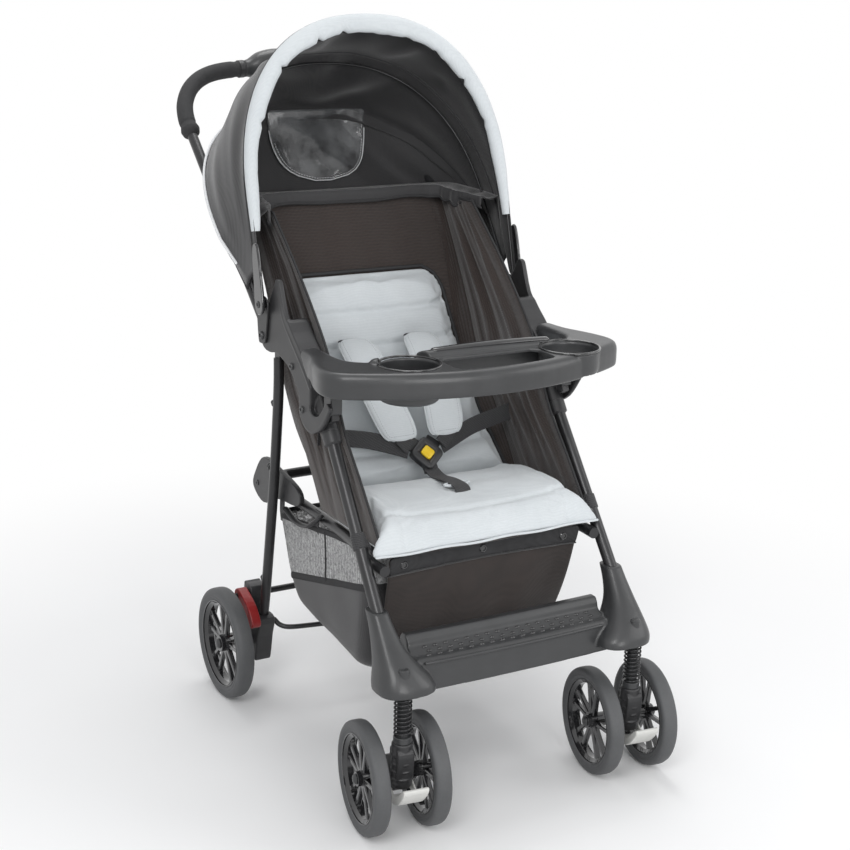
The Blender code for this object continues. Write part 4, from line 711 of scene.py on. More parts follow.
def wheel_shapes(centre, outward, radius, half, hub_r, hub_inner):
    """The rings of a tyre, and the shapes of a rim with five pairs of spokes, about an axle along X."""
    bed = radius * 0.785
    tread = [(bed + 0.0004, 0.82), (bed + 0.003, 0.9), (radius * 0.85, 0.985), (radius * 0.862, 0.955),
             (radius * 0.874, 0.99), (radius * 0.92, 1.0), (radius * 0.958, 0.93), (radius * 0.982, 0.78),
             (radius * 0.995, 0.55), (radius, 0.3)]
    tyre = [(r, h * half) for r, h in tread] + [(r, -h * half) for r, h in tread[::-1]]
    well, web = bed - 0.0065, 0.0044
    span = half * 0.86
    ring = [(well, -web), (well, web), (well + 0.0012, web + 0.0008), (bed - 0.0016, span * 0.8),
            (bed - 0.0012, span), (bed, span), (bed, -span), (bed - 0.0012, -span), (bed - 0.0016, -span * 0.8),
            (well + 0.0012, -web - 0.0008)]
    low, high = (-hub_inner, 0.0115) if outward > 0 else (-0.0115, hub_inner)
    hub = [(0.0046, low), (hub_r * 0.78, low), (hub_r * 0.82, low + 0.0006), (hub_r * 0.86, -web), (hub_r, -web),
           (hub_r + 0.0004, 0.0), (hub_r, web), (hub_r * 0.86, web), (hub_r * 0.82, high - 0.0006),
           (hub_r * 0.78, high), (0.0046, high)]
    spokes = []
    for pair in range(5):
        for turn in (-1, 1):
            inner, outer = math.radians(72 * pair + 17 * turn), math.radians(72 * pair + 12.5 * turn)
            a = at(0, math.sin(inner), math.cos(inner)) * (hub_r * 0.9)
            b = at(0, math.sin(outer), math.cos(outer)) * (well + 0.002)
            across = (b - a).normalized().cross(at(1, 0, 0)).normalized()
            spokes.append([[Vector(centre) + a.lerp(b, t) + across * (wide * c) + at(thick * s, 0, 0)
                            for c, s in ((-1.0, -0.6), (-0.7, -1.0), (0.7, -1.0), (1.0, -0.6), (1.0, 0.6), (0.7, 1.0),
                                         (0.35, 0.7), (-0.35, 0.7), (-0.7, 1.0), (-1.0, 0.6))]
                           for t, wide, thick in ((0.0, 0.0046, 0.0042), (0.12, 0.0036, 0.004), (0.5, 0.0031, 0.0037),
                                                  (0.88, 0.0036, 0.004), (1.0, 0.0052, 0.0042))])
    return (turned_rings(tyre, centre, (1, 0, 0), 96), turned_rings(ring, centre, (1, 0, 0), 72),
            turned_rings(hub, centre, (1, 0, 0), 40), spokes)


def make_wheel(end, place, centre, outward, sizes, cap, matrix=Matrix.Identity(4)):
    tyre, ring, hub, spokes = wheel_shapes(centre, outward, *sizes)
    body = f"{end}_wheel_{place}"
    dress(moved(from_rings(f"{end}_tyre_form_{place}", tyre, True), matrix), body, "tyre", f"{end}_tyre_{place}")
    rim = several(f"{end}_rim_form_{place}", spokes, 30.0, (ring, hub))
    dress(moved(rim, matrix), body, "gloss", f"{end}_rim_{place}")
    dress(moved(turned(f"{end}_hub_cap_{place}", cap, centre, (outward, 0, 0), 28), matrix), body, "satin")


def make_running_gear():
    axle = (CASTER_TRAIL, FRONT_WHEEL_R)
    for side, sign in SIDES:
        matrix = Matrix.Translation((sign * CASTER_X, CASTER_Y, 0)) @ Matrix.Rotation(CASTER_YAW, 4, "Z")
        shapes = [prism_rings(spline(CASTER_OUTLINE, 4, True), -0.012, 0.012, "X", 0.0015),
                  turned_rings([(0.0125, 0.074), (0.0145, 0.08), (0.0145, 0.137), (0.0132, 0.1385), (0.009, 0.1385)],
                               (0, 0, 0), UP, 36),
                  turned_rings([(0.011, -0.0145), (0.0125, -0.0135), (0.0125, 0.0135), (0.011, 0.0145)], (0, *axle),
                               (1, 0, 0), 36)]
        for k in range(4):
            shapes.append(turned_rings([(0.014, -0.0016), (0.0158, -0.0008), (0.0158, 0.0008), (0.014, 0.0016)],
                                       (0, 0, 0.088 + 0.011 * k), UP, 36))
        piece = moulded(several(f"caster_shell_{side}", shapes), 0.0008, 4)
        dress(moved(piece, matrix), f"caster_{side}", "black_plastic", f"caster_body_{side}")
        rod = turned(f"axle_rod_{side}", [(0.0032, -0.0572), (0.004, -0.0564), (0.004, 0.0564), (0.0032, 0.0572)],
                     (0, *axle), (1, 0, 0), 24)
        dress(moved(rod, matrix), f"caster_{side}", "steel", f"front_axle_{side}")
        arm = [(axle[0] + 0.0095 * math.cos(math.radians(a)), axle[1] + 0.0095 * math.sin(math.radians(a)))
               for a in range(110, -71, -15)] + [(-0.0115, 0.0575), (-0.016, 0.0685)]
        shapes = [prism_rings(spline(LEVER_TOE, 4, True), -0.018, 0.018, "X", 0.0012),
                  *[slab(arm, turn, 0.015, 0.0177, 0.0004) for turn in (-1, 1)]]
        piece = moulded(several(f"lock_lever_{side}", shapes), 0.0007, 4)
        dress(moved(piece, matrix), f"swivel_lock_{side}", "pale_plastic", f"swivel_lock_{side}")
        for place, out in (("outer", sign), ("inner", -sign)):
            make_wheel("front", f"{place}_{side}", (out * 0.043, *axle), out, (FRONT_WHEEL_R, 0.012, 0.0125, 0.0235),
                       FRONT_CAP, matrix)
        make_wheel("rear", side, (sign * 0.227, REAR_AXLE_Y, REAR_WHEEL_R), sign,
                   (REAR_WHEEL_R, 0.01325, 0.016, 0.037), REAR_CAP)
        stem = turned(f"suspension_stem_{side}", STEM_PROFILE, (sign * CASTER_X, CASTER_Y, 0), UP, 32)
        dress(stem, f"suspension_{side}", "satin", f"caster_stem_{side}")
        start = 0.0 if sign < 0 else math.pi
        path = [at(sign * CASTER_X + SPRING_R * math.cos(start + math.tau * i / 20),
                   CASTER_Y + SPRING_R * math.sin(start + math.tau * i / 20),
                   lerp(SPRING_LOW, SPRING_HIGH, i / 180)) for i in range(181)]
        spring = tube(f"coil_spring_{side}", path, 0.0015, 10, UP, round_ends=True)
        dress(spring, "front_frame", "spring_steel", f"suspension_spring_{side}")
        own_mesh(spring)


FOOT_OUTLINE = [
    (0.0975, 0.06), (0.104, 0.056), (0.133, 0.056), (0.1405, 0.064), (0.141, 0.168), (0.1345, 0.1765),
    (0.119, 0.1765), (0.113, 0.169), (0.111, 0.139), (0.08, 0.133), (0.0885, 0.1),
]
PEDAL_OUTLINE = [
    (0.1365, 0.15), (0.1375, 0.165), (0.129, 0.172), (0.118, 0.1715), (0.086, 0.156), (0.069, 0.136),
    (0.07, 0.1265), (0.079, 0.125), (0.096, 0.137), (0.12, 0.1485),
]


def make_rear_feet():
    for side, sign in SIDES:
        shapes = [slab(spline(FOOT_OUTLINE, 3, True), sign, 0.1592, 0.1866, 0.0015),
                  turned_rings([(0.004, 0.0), (0.004, 0.0585)], (sign * 0.18, REAR_AXLE_Y, REAR_WHEEL_R),
                               (sign, 0, 0), 24)]
        piece = moulded(several(f"foot_shell_{side}", shapes), 0.001, 4)
        dress(piece, "rear_frame", "black_plastic", f"rear_foot_{side}")
        pedal = slab(spline(PEDAL_OUTLINE, 4, True), sign, 0.1886, 0.2042, 0.0012)
        piece = moulded(several(f"pedal_form_{side}", [pedal]), 0.0008, 3)
        dress(piece, "brake", "red_plastic", f"brake_pedal_{side}")


# Rows of x, height above the middle, depth below it and half depth along
CONSOLE_STATIONS = [(-0.057, 0.013, 0.013, 0.013), (-0.048, 0.0165, 0.014, 0.015), (-0.03, 0.027, 0.021, 0.0205),
                    (0.0, 0.032, 0.0235, 0.0225), (0.03, 0.027, 0.021, 0.0205), (0.048, 0.0165, 0.014, 0.015),
                    (0.057, 0.013, 0.013, 0.013)]


def make_console():
    rings = []
    for x, top, bottom, depth in spline(CONSOLE_STATIONS, 6):
        rings.append([at(x, 0.421 + depth * p.x, 0.954 + p.y * (top if p.y > 0 else bottom))
                      for p in oval((0, 0, 0), 1.0, 1.0, 2.5, 40)])
    piece = from_rings("console_shell", rings)
    cut(piece, [from_rings("recess", prism_rings(rectangle(-0.0255, 0.4095, 0.0255, 0.4325), 0.92, 0.9415, "Z"))])
    dress(moulded(piece, 0.001, 3), "handle", "satin", "console")
    key = [prism_rings(rectangle(-0.024, 0.411, 0.024, 0.431), 0.923, 0.9375, "Z", 0.001)]
    for k in range(-3, 4):
        x = k * 0.006
        key.append(prism_rings(rectangle(x - 0.001, 0.4125, x + 0.001, 0.4295), 0.9222, 0.924, "Z", 0.0004))
    dress(several("fold_trigger_key", key), "fold_release", "satin", "fold_trigger")


CUP_RIGHT, CUP_LEFT, CUP_R = (-0.112, -0.252), (0.139, -0.2625), 0.04
TRAY_LOW, TRAY_TOP = 0.58, 0.6155
LATCH_OUTLINE = [(-0.185, 0.537), (-0.17, 0.537), (-0.17, 0.529), (-0.178, 0.523), (-0.188, 0.529)]


def tray_front(x):
    return -0.328 + 1.32 * x * x


def rail_line(low, high, count, z):
    """The hand rail's line across the tray, which rises in the middle."""
    return [(x, -0.2283, TRAY_TOP + z + 0.004 * (1 - (x / 0.15) ** 2)) for x in np.linspace(low, high, count)]


def tray_outline(inset):
    front = [(x, tray_front(x) + inset) for x in np.linspace(0.0, 0.203, 15)]
    corner = [(0.203, -0.2736 + inset), (0.22 - inset * 0.6, -0.263 + inset * 0.7), (0.231 - inset, -0.248),
              (0.2345 - inset, -0.23), (0.2305 - inset, -0.205), (0.222 - inset, -0.178), (0.213 - inset, -0.152),
              (0.209 - inset, -0.115)]
    inner = [(0.178 + inset, -0.115), (0.178 + inset, -0.18), (0.169 + inset, -0.206), (0.15, -0.218 - inset)]
    half = front + spline(corner, 5)[1:] + spline(inner, 4) + [(0.0, -0.218 - inset)]
    return half + [(-x, y) for x, y in half[-2:0:-1]]


def layers(name, profile, outline):
    """A body from one outline at several insets and heights."""
    return from_rings(name, [[at(x, y, z) for x, y in outline(inset)] for inset, z in profile])


def make_tray():
    low, top = TRAY_LOW, TRAY_TOP
    body = layers("tray_shell", [(0.003, low), (0.0006, low + 0.002), (0.0, low + 0.007), (0.0, top - 0.012),
                                 (0.001, top - 0.007), (0.0035, top - 0.0028), (0.007, top - 0.0006), (0.01, top)],
                  tray_outline)
    cut(body, [layers("hollow", [(0.0045, low - 0.01), (0.0045, top - 0.0045)], tray_outline)])
    add = []
    for centre, floor in ((CUP_RIGHT, 0.566), (CUP_LEFT, low)):
        radius = CUP_R + 0.003
        add.append(turned("wall", [(radius * 0.88, floor), (radius * 0.97, floor + 0.004), (radius, floor + 0.01),
                                   (radius, top - 0.001)], (*centre, 0), UP, 72))
    add.append(from_rings("rail", tube_rings(rail_line(-0.15, 0.15, 41, -0.0005), 0.0095, 24, (0, 1, 0), 0.72, True)))
    for side, sign in SIDES:
        near, far = sorted((sign * 0.18, sign * 0.1975))
        add.append(from_rings("tongue", prism_rings(rectangle(near, -0.19, far, -0.166), 0.537, top - 0.003, "Z",
                                                    0.0015)))
    cut(body, add, "UNION")
    gap = [(x, tray_front(x) + 0.0175) for x in np.linspace(-0.062, 0.086, 12)]
    gap += [(0.0915, -0.295), (0.092, -0.256), (0.085, -0.2455), (-0.056, -0.2455), (-0.0645, -0.256),
            (-0.066, -0.29)]
    tools = [from_rings("gap", [[at(x, y, z) for x, y in gap] for z in (0.55, 0.64)])]
    lip = CUP_R + 0.0022
    for centre, floor in ((CUP_RIGHT, 0.5705), (CUP_LEFT, 0.55)):
        tools.append(turned("bore", [(CUP_R * 0.92, floor), (CUP_R, floor + 0.004), (CUP_R, top - 0.003),
                                     (lip, top + 0.0006), (lip, 0.65)], (*centre, 0), UP, 72))
    end = [(-0.141, 0.56), (-0.141, 0.5835), (-0.1105, 0.6128), (-0.1, 0.623), (0.0, 0.623), (0.0, 0.56)]
    tools.append(from_rings("end", [[at(x, y, z) for y, z in end] for x in (-0.25, 0.25)]))
    cut(body, tools)
    dress(moulded(body, 0.0015, 4), "tray_body", "satin", "tray")
    # A polished hand rail runs behind the cup places.
    piping("tray_rail", rail_line(-0.06, 0.12, 31, 0.0052), lambda t: 0.006 + 0.0012 * math.sin(math.pi * t), 20,
           (0, 1, 0), 0.65, "tray_body", "gloss")
    for label, (x, y) in (("right", CUP_RIGHT), ("left", CUP_LEFT)):
        lip = [at(x + (CUP_R + 0.0028) * math.cos(a), y + (CUP_R + 0.0028) * math.sin(a), top + 0.0006)
               for a in around(72)]
        loop_piping(f"cup_lip_{label}", lip, (x, y), 0.0017, "tray_body", "gloss")
    latches = [slab(LATCH_OUTLINE, sign, 0.183, 0.195, 0.001) for side, sign in SIDES]
    dress(several("tray_latches", latches), "tray_body", "black_plastic")


for make_part in (make_tubes, make_brackets, make_footrest, make_running_gear, make_rear_feet, make_console,
                  make_tray):
    make_part()


# Hood

ARCH_POWER = 2.33
RIM_LEAN, MID_LEAN = math.radians(14.5), math.radians(34.0)
# Half width, length of the arms and height of the crown
RIM_ARCH, MID_BOW_ARCH = (0.2128, 0.15, 0.254), (0.2143, 0.14, 0.251)
SHELL_ARCHES = [(14.5, 0.2172, 0.15, 0.256), (34.0, 0.224, 0.14, 0.266), (53.0, 0.231, 0.13, 0.277),
                (70.0, 0.2065, 0.12, 0.172)]
SHELL_LOW, SHELL_FOOT_X, ARM_STEPS, CROWN_STEPS, SPAN_STEPS = 0.046, 0.2172, 7, 26, 8
HOOD_PIVOT = at(0, *HOOD_AXIS)
HOOD_FORWARD = at(0, -math.cos(RIM_LEAN), math.sin(RIM_LEAN))
# The pulled folds of the shell: from (across, back) to (across, back), and their size
CREASES = [(-0.15, 0.04, -0.03, 0.185, 1.0), (-0.06, 0.025, 0.02, 0.17, -0.9), (0.015, 0.03, 0.06, 0.18, 1.1),
           (0.105, 0.03, 0.05, 0.165, -1.0), (0.165, 0.07, 0.075, 0.19, 1.1), (-0.19, 0.09, -0.095, 0.188, -0.8),
           (0.06, 0.2, 0.185, 0.265, 1.0), (-0.02, 0.21, 0.11, 0.28, -0.8), (-0.09, 0.2, -0.17, 0.27, 0.9),
           (0.12, 0.198, 0.205, 0.23, -0.8)]
TUCKS = (0.19, 0.3, 0.395, 0.455, 0.52, 0.59, 0.66, 0.735, 0.82)
BOW_FOOT_X = 0.2125
BOW_BUSH = [(0.0022, -0.0042), (0.0022, -0.0001), (0.0058, 0.0), (0.0062, 0.0006), (0.0062, 0.0036),
            (0.0056, 0.0042)]
DRAPE_SIDE = [(0.136, 0.145, 0.793), (0.156, 0.118, 0.79), (0.164, 0.085, 0.788), (0.18, 0.052, 0.784)]
DRAPE_MIDDLE = (0.0, 0.149, 0.791)
DRAPE_ROWS = 9
CLIP_OUTLINE = [(0.01, 0.645), (-0.008, 0.644), (-0.012, 0.66), (-0.004, 0.7), (0.0085, 0.738), (0.017, 0.742),
                (0.0215, 0.73), (0.018, 0.69)]


def arch(lean, half_width, arm, crown, axis, low, count_arm, count_crown):
    """An arch in a plane through the hood's pivots: straight arms under a superellipse crown."""
    half = [(half_width, low + (arm - low) * i / count_arm) for i in range(count_arm)]
    for i in range(count_crown + 1):
        angle = 0.5 * math.pi * i / count_crown
        half.append((half_width * max(0.0, math.cos(angle)) ** (2 / ARCH_POWER),
                     arm + crown * math.sin(angle) ** (2 / ARCH_POWER)))
    points = [(-x, s) for x, s in half] + [(x, s) for x, s in half[-2::-1]]
    return [at(x, axis[0] + s * math.sin(lean), axis[1] + s * math.cos(lean)) for x, s in points]


def bend_with_hood(piece):
    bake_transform(piece)
    return piece


def free_of_pivot(point, start, span):
    """0 near the hood's pivot and 1 far from it."""
    return clip((math.hypot(point.y - HOOD_PIVOT.y, point.z - HOOD_PIVOT.z) - start) / span)


def shell_row(values):
    lean, *sizes = values
    row = arch(math.radians(lean), *sizes, HOOD_AXIS, SHELL_LOW, ARM_STEPS, CROWN_STEPS)
    for j in range(ARM_STEPS):
        x = lerp(SHELL_FOOT_X, sizes[0], j / ARM_STEPS)
        row[j].x, row[-1 - j].x = -x, x
    return row


def creased(u, v):
    """The depth of the pulled folds of the hood at u across and v back from its rim."""
    depth = 0.0
    for x0, y0, x1, y1, size in CREASES:
        long = at(x1 - x0, y1 - y0)
        t = clip(at(u - x0, v - y0).dot(long) / long.length_squared)
        depth += 0.01 * size * groove(math.hypot(u - x0 - t * long.x, v - y0 - t * long.y), 0.008 + 0.009 * t)
    return depth


def shell_grid():
    grid, slack = [], []
    for first, second in zip(SHELL_ARCHES, SHELL_ARCHES[1:]):
        for step in range(SPAN_STEPS):
            t = step / SPAN_STEPS
            share = math.sin(math.pi * t)
            grid.append([HOOD_PIVOT + (p - HOOD_PIVOT) * (1 - 0.022 * share * free_of_pivot(p, 0.1, 0.25))
                         for p in shell_row([lerp(a, b, t) for a, b in zip(first, second)])])
            slack.append(share)
    grid.append(shell_row(SHELL_ARCHES[-1]))
    slack.append(0.6)
    for j, point in enumerate(grid[0]):
        reach = math.hypot(point.y - HOOD_PIVOT.y, point.z - HOOD_PIVOT.z)
        grid[0][j] = point - HOOD_FORWARD * (min(0.0072, 0.068 * reach) + 0.006 * free_of_pivot(point, 0.1, 0.25))
    normals = normals_of(grid)
    for i, row in enumerate(grid):
        for j, point in enumerate(row):
            x = point.x
            wave = ripple(x * 9, i * 0.16, 3.1) + 0.5 * ripple(x * 22, i * 0.3, 8.7)
            crease = abs(ripple(x * 7 + i * 0.13, i * 0.1 - x * 2.5, 1.7))
            depth = 0.0085 * wave + 0.012 * (0.35 - crease) + creased(x, 0.012 * i)
            calm = 1 - 0.7 * groove(i - SPAN_STEPS, 1.6)
            free = free_of_pivot(point, 0.09, 0.16)
            row[j] = point + normals[i][j] * (depth * (0.25 + 0.75 * slack[i]) * calm * free * (i > 0))
    return grid


def make_bows():
    for name, values, lean, axis, wire, body, node in (
            ("front_bow_wire", RIM_ARCH, RIM_LEAN, HOOD_AXIS, 0.002, "hood_front", "canopy_bow"),
            ("middle_bow_wire", MID_BOW_ARCH, MID_LEAN, MID_BOW_AXIS, 0.0018, "hood_middle", "canopy_mid_bow")):
        path = arch(lean, *values, axis, 0.03, 6, 30)
        path[0].x, path[-1].x = -BOW_FOOT_X, BOW_FOOT_X
        shapes = [tube_rings([at(-BOW_FOOT_X, *axis), *path, at(BOW_FOOT_X, *axis)], wire, 12)]
        for side, sign in SIDES:
            shapes.append(turned_rings(BOW_BUSH, (sign * 0.2104, *axis), (sign, 0, 0), 24))
        dress(several(name, shapes), body, "frame_tube", node)


def make_rim():
    """The padded roll along the front bow, tucked at its seams."""
    centre_line = arch(RIM_LEAN, *RIM_ARCH, HOOD_AXIS, 0.104, 14, 44)
    run = [0.0]
    for a, b in zip(centre_line, centre_line[1:]):
        run.append(run[-1] + (b - a).length)
    rings, ridge, seam_line = [], [], []
    for i, point in enumerate(centre_line):
        radial = heading(centre_line, i).cross(HOOD_FORWARD).normalized()
        way = run[i] / run[-1]
        share = math.sin(math.pi * (0.02 + 0.96 * way)) ** 0.45
        pinch = sum(groove(way - t, 0.0045) for t in TUCKS)
        full = 1.0 + 0.05 * math.sin(37 * way) + 0.05 * ripple(way * 26, 0.3, 5.0)
        half_radial = (0.0034 + 0.0106 * share) * full * (1 - 0.1 * pinch)
        half_normal = (0.0034 + 0.0072 * share) * full * (1 - 0.16 * pinch)
        centre = point + radial * (half_radial - (0.0034 + 0.0046 * share))
        ring = []
        for angle in around(28):
            c, s = math.cos(angle), math.sin(angle)
            inner = max(0.0, c) ** 0.5
            ruck = 1 + 0.025 * ripple(way * 95, c * 1.5, s * 1.5) + 0.04 * ripple(way * 60 + c, s * 2, 7.0) * inner
            ruck -= inner * sum(0.24 * groove(way - t, 0.0032) - 0.09 * groove(way - t - 0.01, 0.007) for t in TUCKS)
            ring.append(centre + radial * (half_radial * ruck * c) + HOOD_FORWARD * (half_normal * ruck * s))
        rings.append(ring)
        ridge.append(centre - radial * (half_radial * 0.93) - HOOD_FORWARD * (half_normal * 0.42))
        seam_line.append(centre + radial * (half_radial * 0.93) - HOOD_FORWARD * (half_normal * 0.45))
    roll = dress(from_rings("rim_roll", rings, crease=CLOTH_CREASE), "hood_front", "pale_fabric", "canopy_rim")
    piping("rim_binding", seam_line[2:-2], 0.0013, 10, UP, 1.0, "hood_front")
    piping("rim_seam", ridge[2:-2], 0.0011, 10, UP, 1.0, "hood_front")


def make_shell():
    """The hood's cloth with its hems and piping."""
    grid = shell_grid()
    shell = bend_with_hood(dress(grid_sheet("hood_cloth", grid, 0.0014), None, "black_fabric", "canopy_shell"))
    normals = normals_of(grid)
    middle = 2 * SPAN_STEPS
    outward = 1.0 if normals[middle][len(grid[0]) // 2].z > 0 else -1.0

    def lifted(row, lift):
        return [p + n * (outward * lift) for p, n in zip(grid[row], normals[row])]

    for name, line, size, sides, flat, look in (
            ("hood_hem_rear", grid[-1], 0.0024, 10, 0.8, "dark_trim"),
            ("hood_hem_right", [row[0] for row in grid], 0.002, 10, 0.8, "dark_trim"),
            ("hood_hem_left", [row[-1] for row in grid], 0.002, 10, 0.8, "dark_trim"),
            ("hood_piping", lifted(middle, 0.0018)[3:-3], 0.0021, 12, 1.0, "white_trim"),
            ("hood_inner_seam", lifted(middle, -0.0016), 0.002, 10, 0.7, "dark_trim"),
            ("hood_bow_sleeve", lifted(SPAN_STEPS, -0.0014), 0.0026, 10, 0.7, "black_fabric")):
        bend_with_hood(piping(name, line, size, sides, UP, flat, None, look))
    flap = [[p - n * (outward * (0.0022 + 0.009 * share * (0.6 + 0.7 * ripple(j * 0.21, share, 5.5))))
             - at(0, 0, 0.017 * share * free_of_pivot(p, 0.1, 0.2))
             for j, (p, n) in enumerate(zip(grid[middle], normals[middle]))] for share in (0.0, 0.35, 0.7, 1.0)]
    fringe = bend_with_hood(dress(grid_sheet("hood_inner_flap", flap, 0.001), None, "black_fabric"))
    return shell


def make_side_tabs():
    """A tab of cloth on each side closes the shell on to the foot of the front bow."""
    rise = at(0, math.sin(RIM_LEAN), math.cos(RIM_LEAN))
    for side, sign in SIDES:
        tab = []
        for k in range(9):
            foot = HOOD_PIVOT + rise * lerp(0.012, 0.135, k / 8)
            width = lerp(0.012, 0.026, min(1.0, k / 5))
            tab.append([foot + HOOD_FORWARD * lerp(0.005, -width, j / 5)
                        + at(sign * (0.2146 + 0.0012 * ripple(k * 0.7, j * 0.4, 2.0)), 0, 0) for j in range(6)])
        piece = dress(grid_sheet(f"hood_side_tab_{side}", tab, 0.001), "hood_front", "black_fabric")


def make_drape(shell):
    """The rear hem folds forward over the top of the backrest and the wings."""
    lip = [Vector(p) for p in spline([(-x, y, z) for x, y, z in DRAPE_SIDE[::-1]] + [DRAPE_MIDDLE, *DRAPE_SIDE], 8)]
    ways = [at(p.x * 0.8, max(0.02, p.y - 0.04), -0.016).normalized() for p in lip]
    lengths = []
    for spot, away in zip(lip, ways):
        hit, far, *rest = shell.ray_cast(spot, away)
        lengths.append(min(0.125, (far - spot).length - 0.004) if hit else 0.03)
    for again in range(4):
        lengths = [min(own, (lengths[max(j - 1, 0)] + own + lengths[min(j + 1, len(lip) - 1)]) / 3)
                   for j, own in enumerate(lengths)]
    drape = []
    for k in range(DRAPE_ROWS):
        u = max(0.0, (k - 2) / 6)
        row = []
        for j, (spot, away) in enumerate(zip(lip, ways)):
            slack = ripple(j * 0.2, 1.0, 4.0)
            drop = -0.021 * (1 + 0.6 * slack) * max(0.0, 1 - k / 2)
            sag = -0.01 * math.sin(math.pi * u) * (0.7 + slack)
            fold = away * (0.005 * ripple(j * 0.34, k * 0.12, 9.0) * (1 - u))
            row.append(spot.lerp(spot + away * lengths[j], u) + at(0, 0, drop) + at(0, 0, sag) + fold)
        drape.append(row)
    curtain = bend_with_hood(dress(grid_sheet("hood_rear_drape", drape, 0.001), None, "black_fabric"))
    edge = bend_with_hood(piping("hood_drape_hem", drape[0], 0.0019, 10, UP, 1.0, None))


def make_window(shell):
    """The clear window hugs the inside of the rear panel."""
    rows, columns = 14, 20
    centre, half, top, bottom = 0.02, 0.084, 0.896, 0.786
    film = []
    for i in range(rows + 1):
        v = i / rows
        z = lerp(top, bottom, v)
        width = max(half * 0.16, half * max(0.0, 1 - max(0.0, (v - 0.3) / 0.7) ** 2.6) ** 0.5)
        row = []
        for j in range(columns + 1):
            x = centre + width * (2 * j / columns - 1)
            hit, spot, *rest = shell.ray_cast(at(x, 0.12, z), at(0, 1, 0))
            row.append(at(x, (spot.y if hit else 0.3) - (0.0042 + 0.0016 * ripple(j * 0.45, i * 0.15, 2.0)), z))
        film.append(row)
    window = dress(grid_sheet("hood_window", film, 0.0006), "handle", "clear_film")
    border = [row[-1] for row in film] + film[-1][-2:0:-1] + [row[0] for row in film[::-1]]
    edge = piping("window_edge", [p - at(0, 0.0006, 0) for p in border[4:-4]], 0.0012, 10, (0, 1, 0), 0.7, "handle",
                  "white_trim")
    inner = [p.lerp(at(centre, p.y, lerp(top, bottom, 0.45)), 0.06) - at(0, 0.002, 0) for p in border[6:-6]]
    thread = stitches("window_stitches", inner, [(0, -1, 0)] * len(inner), "handle", "white_trim", 0.0046, 0.0032,
                      0.0005)


def make_hood():
    make_bows()
    make_rim()
    shell = make_shell()
    bpy.context.view_layer.update()
    shown = shell.evaluated_get(bpy.context.evaluated_depsgraph_get())
    make_side_tabs()
    make_drape(shown)
    make_window(shown)
    for side, sign in SIDES:
        clip_bar = slab(spline(CLIP_OUTLINE, 5, True), sign, 0.215, 0.2195, 0.0012)
        dress(several(f"hood_clip_{side}", [clip_bar]), "hood_front", "gloss")
        bolts(f"hood_clip_bolt_{side}", [(sign * 0.2195, 0.0015, 0.656)], sign, 0.0052, 0.0016, "hood_front")


# Seat

BACK_KNOTS = [(-0.092, 0.3735), (-0.045, 0.412), (0.012, 0.462), (0.052, 0.52), (0.082, 0.588), (0.112, 0.668),
              (0.165, 0.785)]
WING_FRONT = [(-0.288, 0.37), (-0.226, 0.446), (-0.172, 0.51), (-0.125, 0.6), (-0.04, 0.69), (0.06, 0.775)]
WING_REAR = [(-0.104, 0.37), (-0.039, 0.46), (0.02, 0.53), (0.066, 0.62), (0.115, 0.705), (0.16, 0.775)]
WING_X = 0.1684
# The wing's folds: where each starts along it, its lean, its width and its depth
WING_FOLDS = ((0.16, 0.14, 0.04, 1.0), (0.36, -0.1, 0.035, 0.7), (0.52, 0.16, 0.045, 1.0), (0.74, -0.14, 0.035, 0.8),
              (0.84, 0.05, 0.03, 0.6))


def interpolate(table, t):
    """A row of values at t from 0 to 1 along a table of rows."""
    spot = t * (len(table) - 1)
    i = min(int(spot), len(table) - 2)
    return [lerp(a, b, spot - i) for a, b in zip(table[i], table[i + 1])]


def back_half_width(share):
    return 0.153 - 0.016 * max(0.0, (share - 0.85) / 0.15) ** 2


def make_backrest():
    line = spline(BACK_KNOTS, 10)
    grid = [flat_row(back_half_width(i / (len(line) - 1)), *spot, 31) for i, spot in enumerate(line)]
    board = pad_mesh("backrest_cover", grid, lambda i, j: 0.0024 + 0.0012 * ripple(j * 0.3 + i * 0.05, i * 0.1, 4.0)
                     * clip((i / 60 - 0.5) * 3), lambda i, j: 0.0024)
    dress(board, "backrest", "brown_mesh", "backrest_board")
    piping("backrest_top_binding", [p - at(0, 0.001, 0) for p in grid[-1]], 0.003, 12, (0, 1, 0), 1.0, "backrest")
    rear = spline(WING_REAR, 8)
    for side, sign in SIDES:
        sheet = []
        for i, spot in enumerate(rear):
            t = i / (len(rear) - 1)
            a = at(sign * WING_X, *spot)
            b = at(sign * (back_half_width(t) + 0.0004), *interpolate(line, 0.02 + 0.96 * t))
            row = []
            for u in (j / 8 for j in range(9)):
                bow = 0.006 * math.sin(math.pi * u) * (0.6 + 0.8 * ripple(i * 0.22, u * 2, 7.0 * sign))
                row.append(a.lerp(b, u) + at(sign * 0.2 * bow, bow, 0))
            sheet.append(row)
        gusset = dress(grid_sheet(f"side_gusset_{side}", sheet, 0.001), None, "brown_mesh")
        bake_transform(gusset)


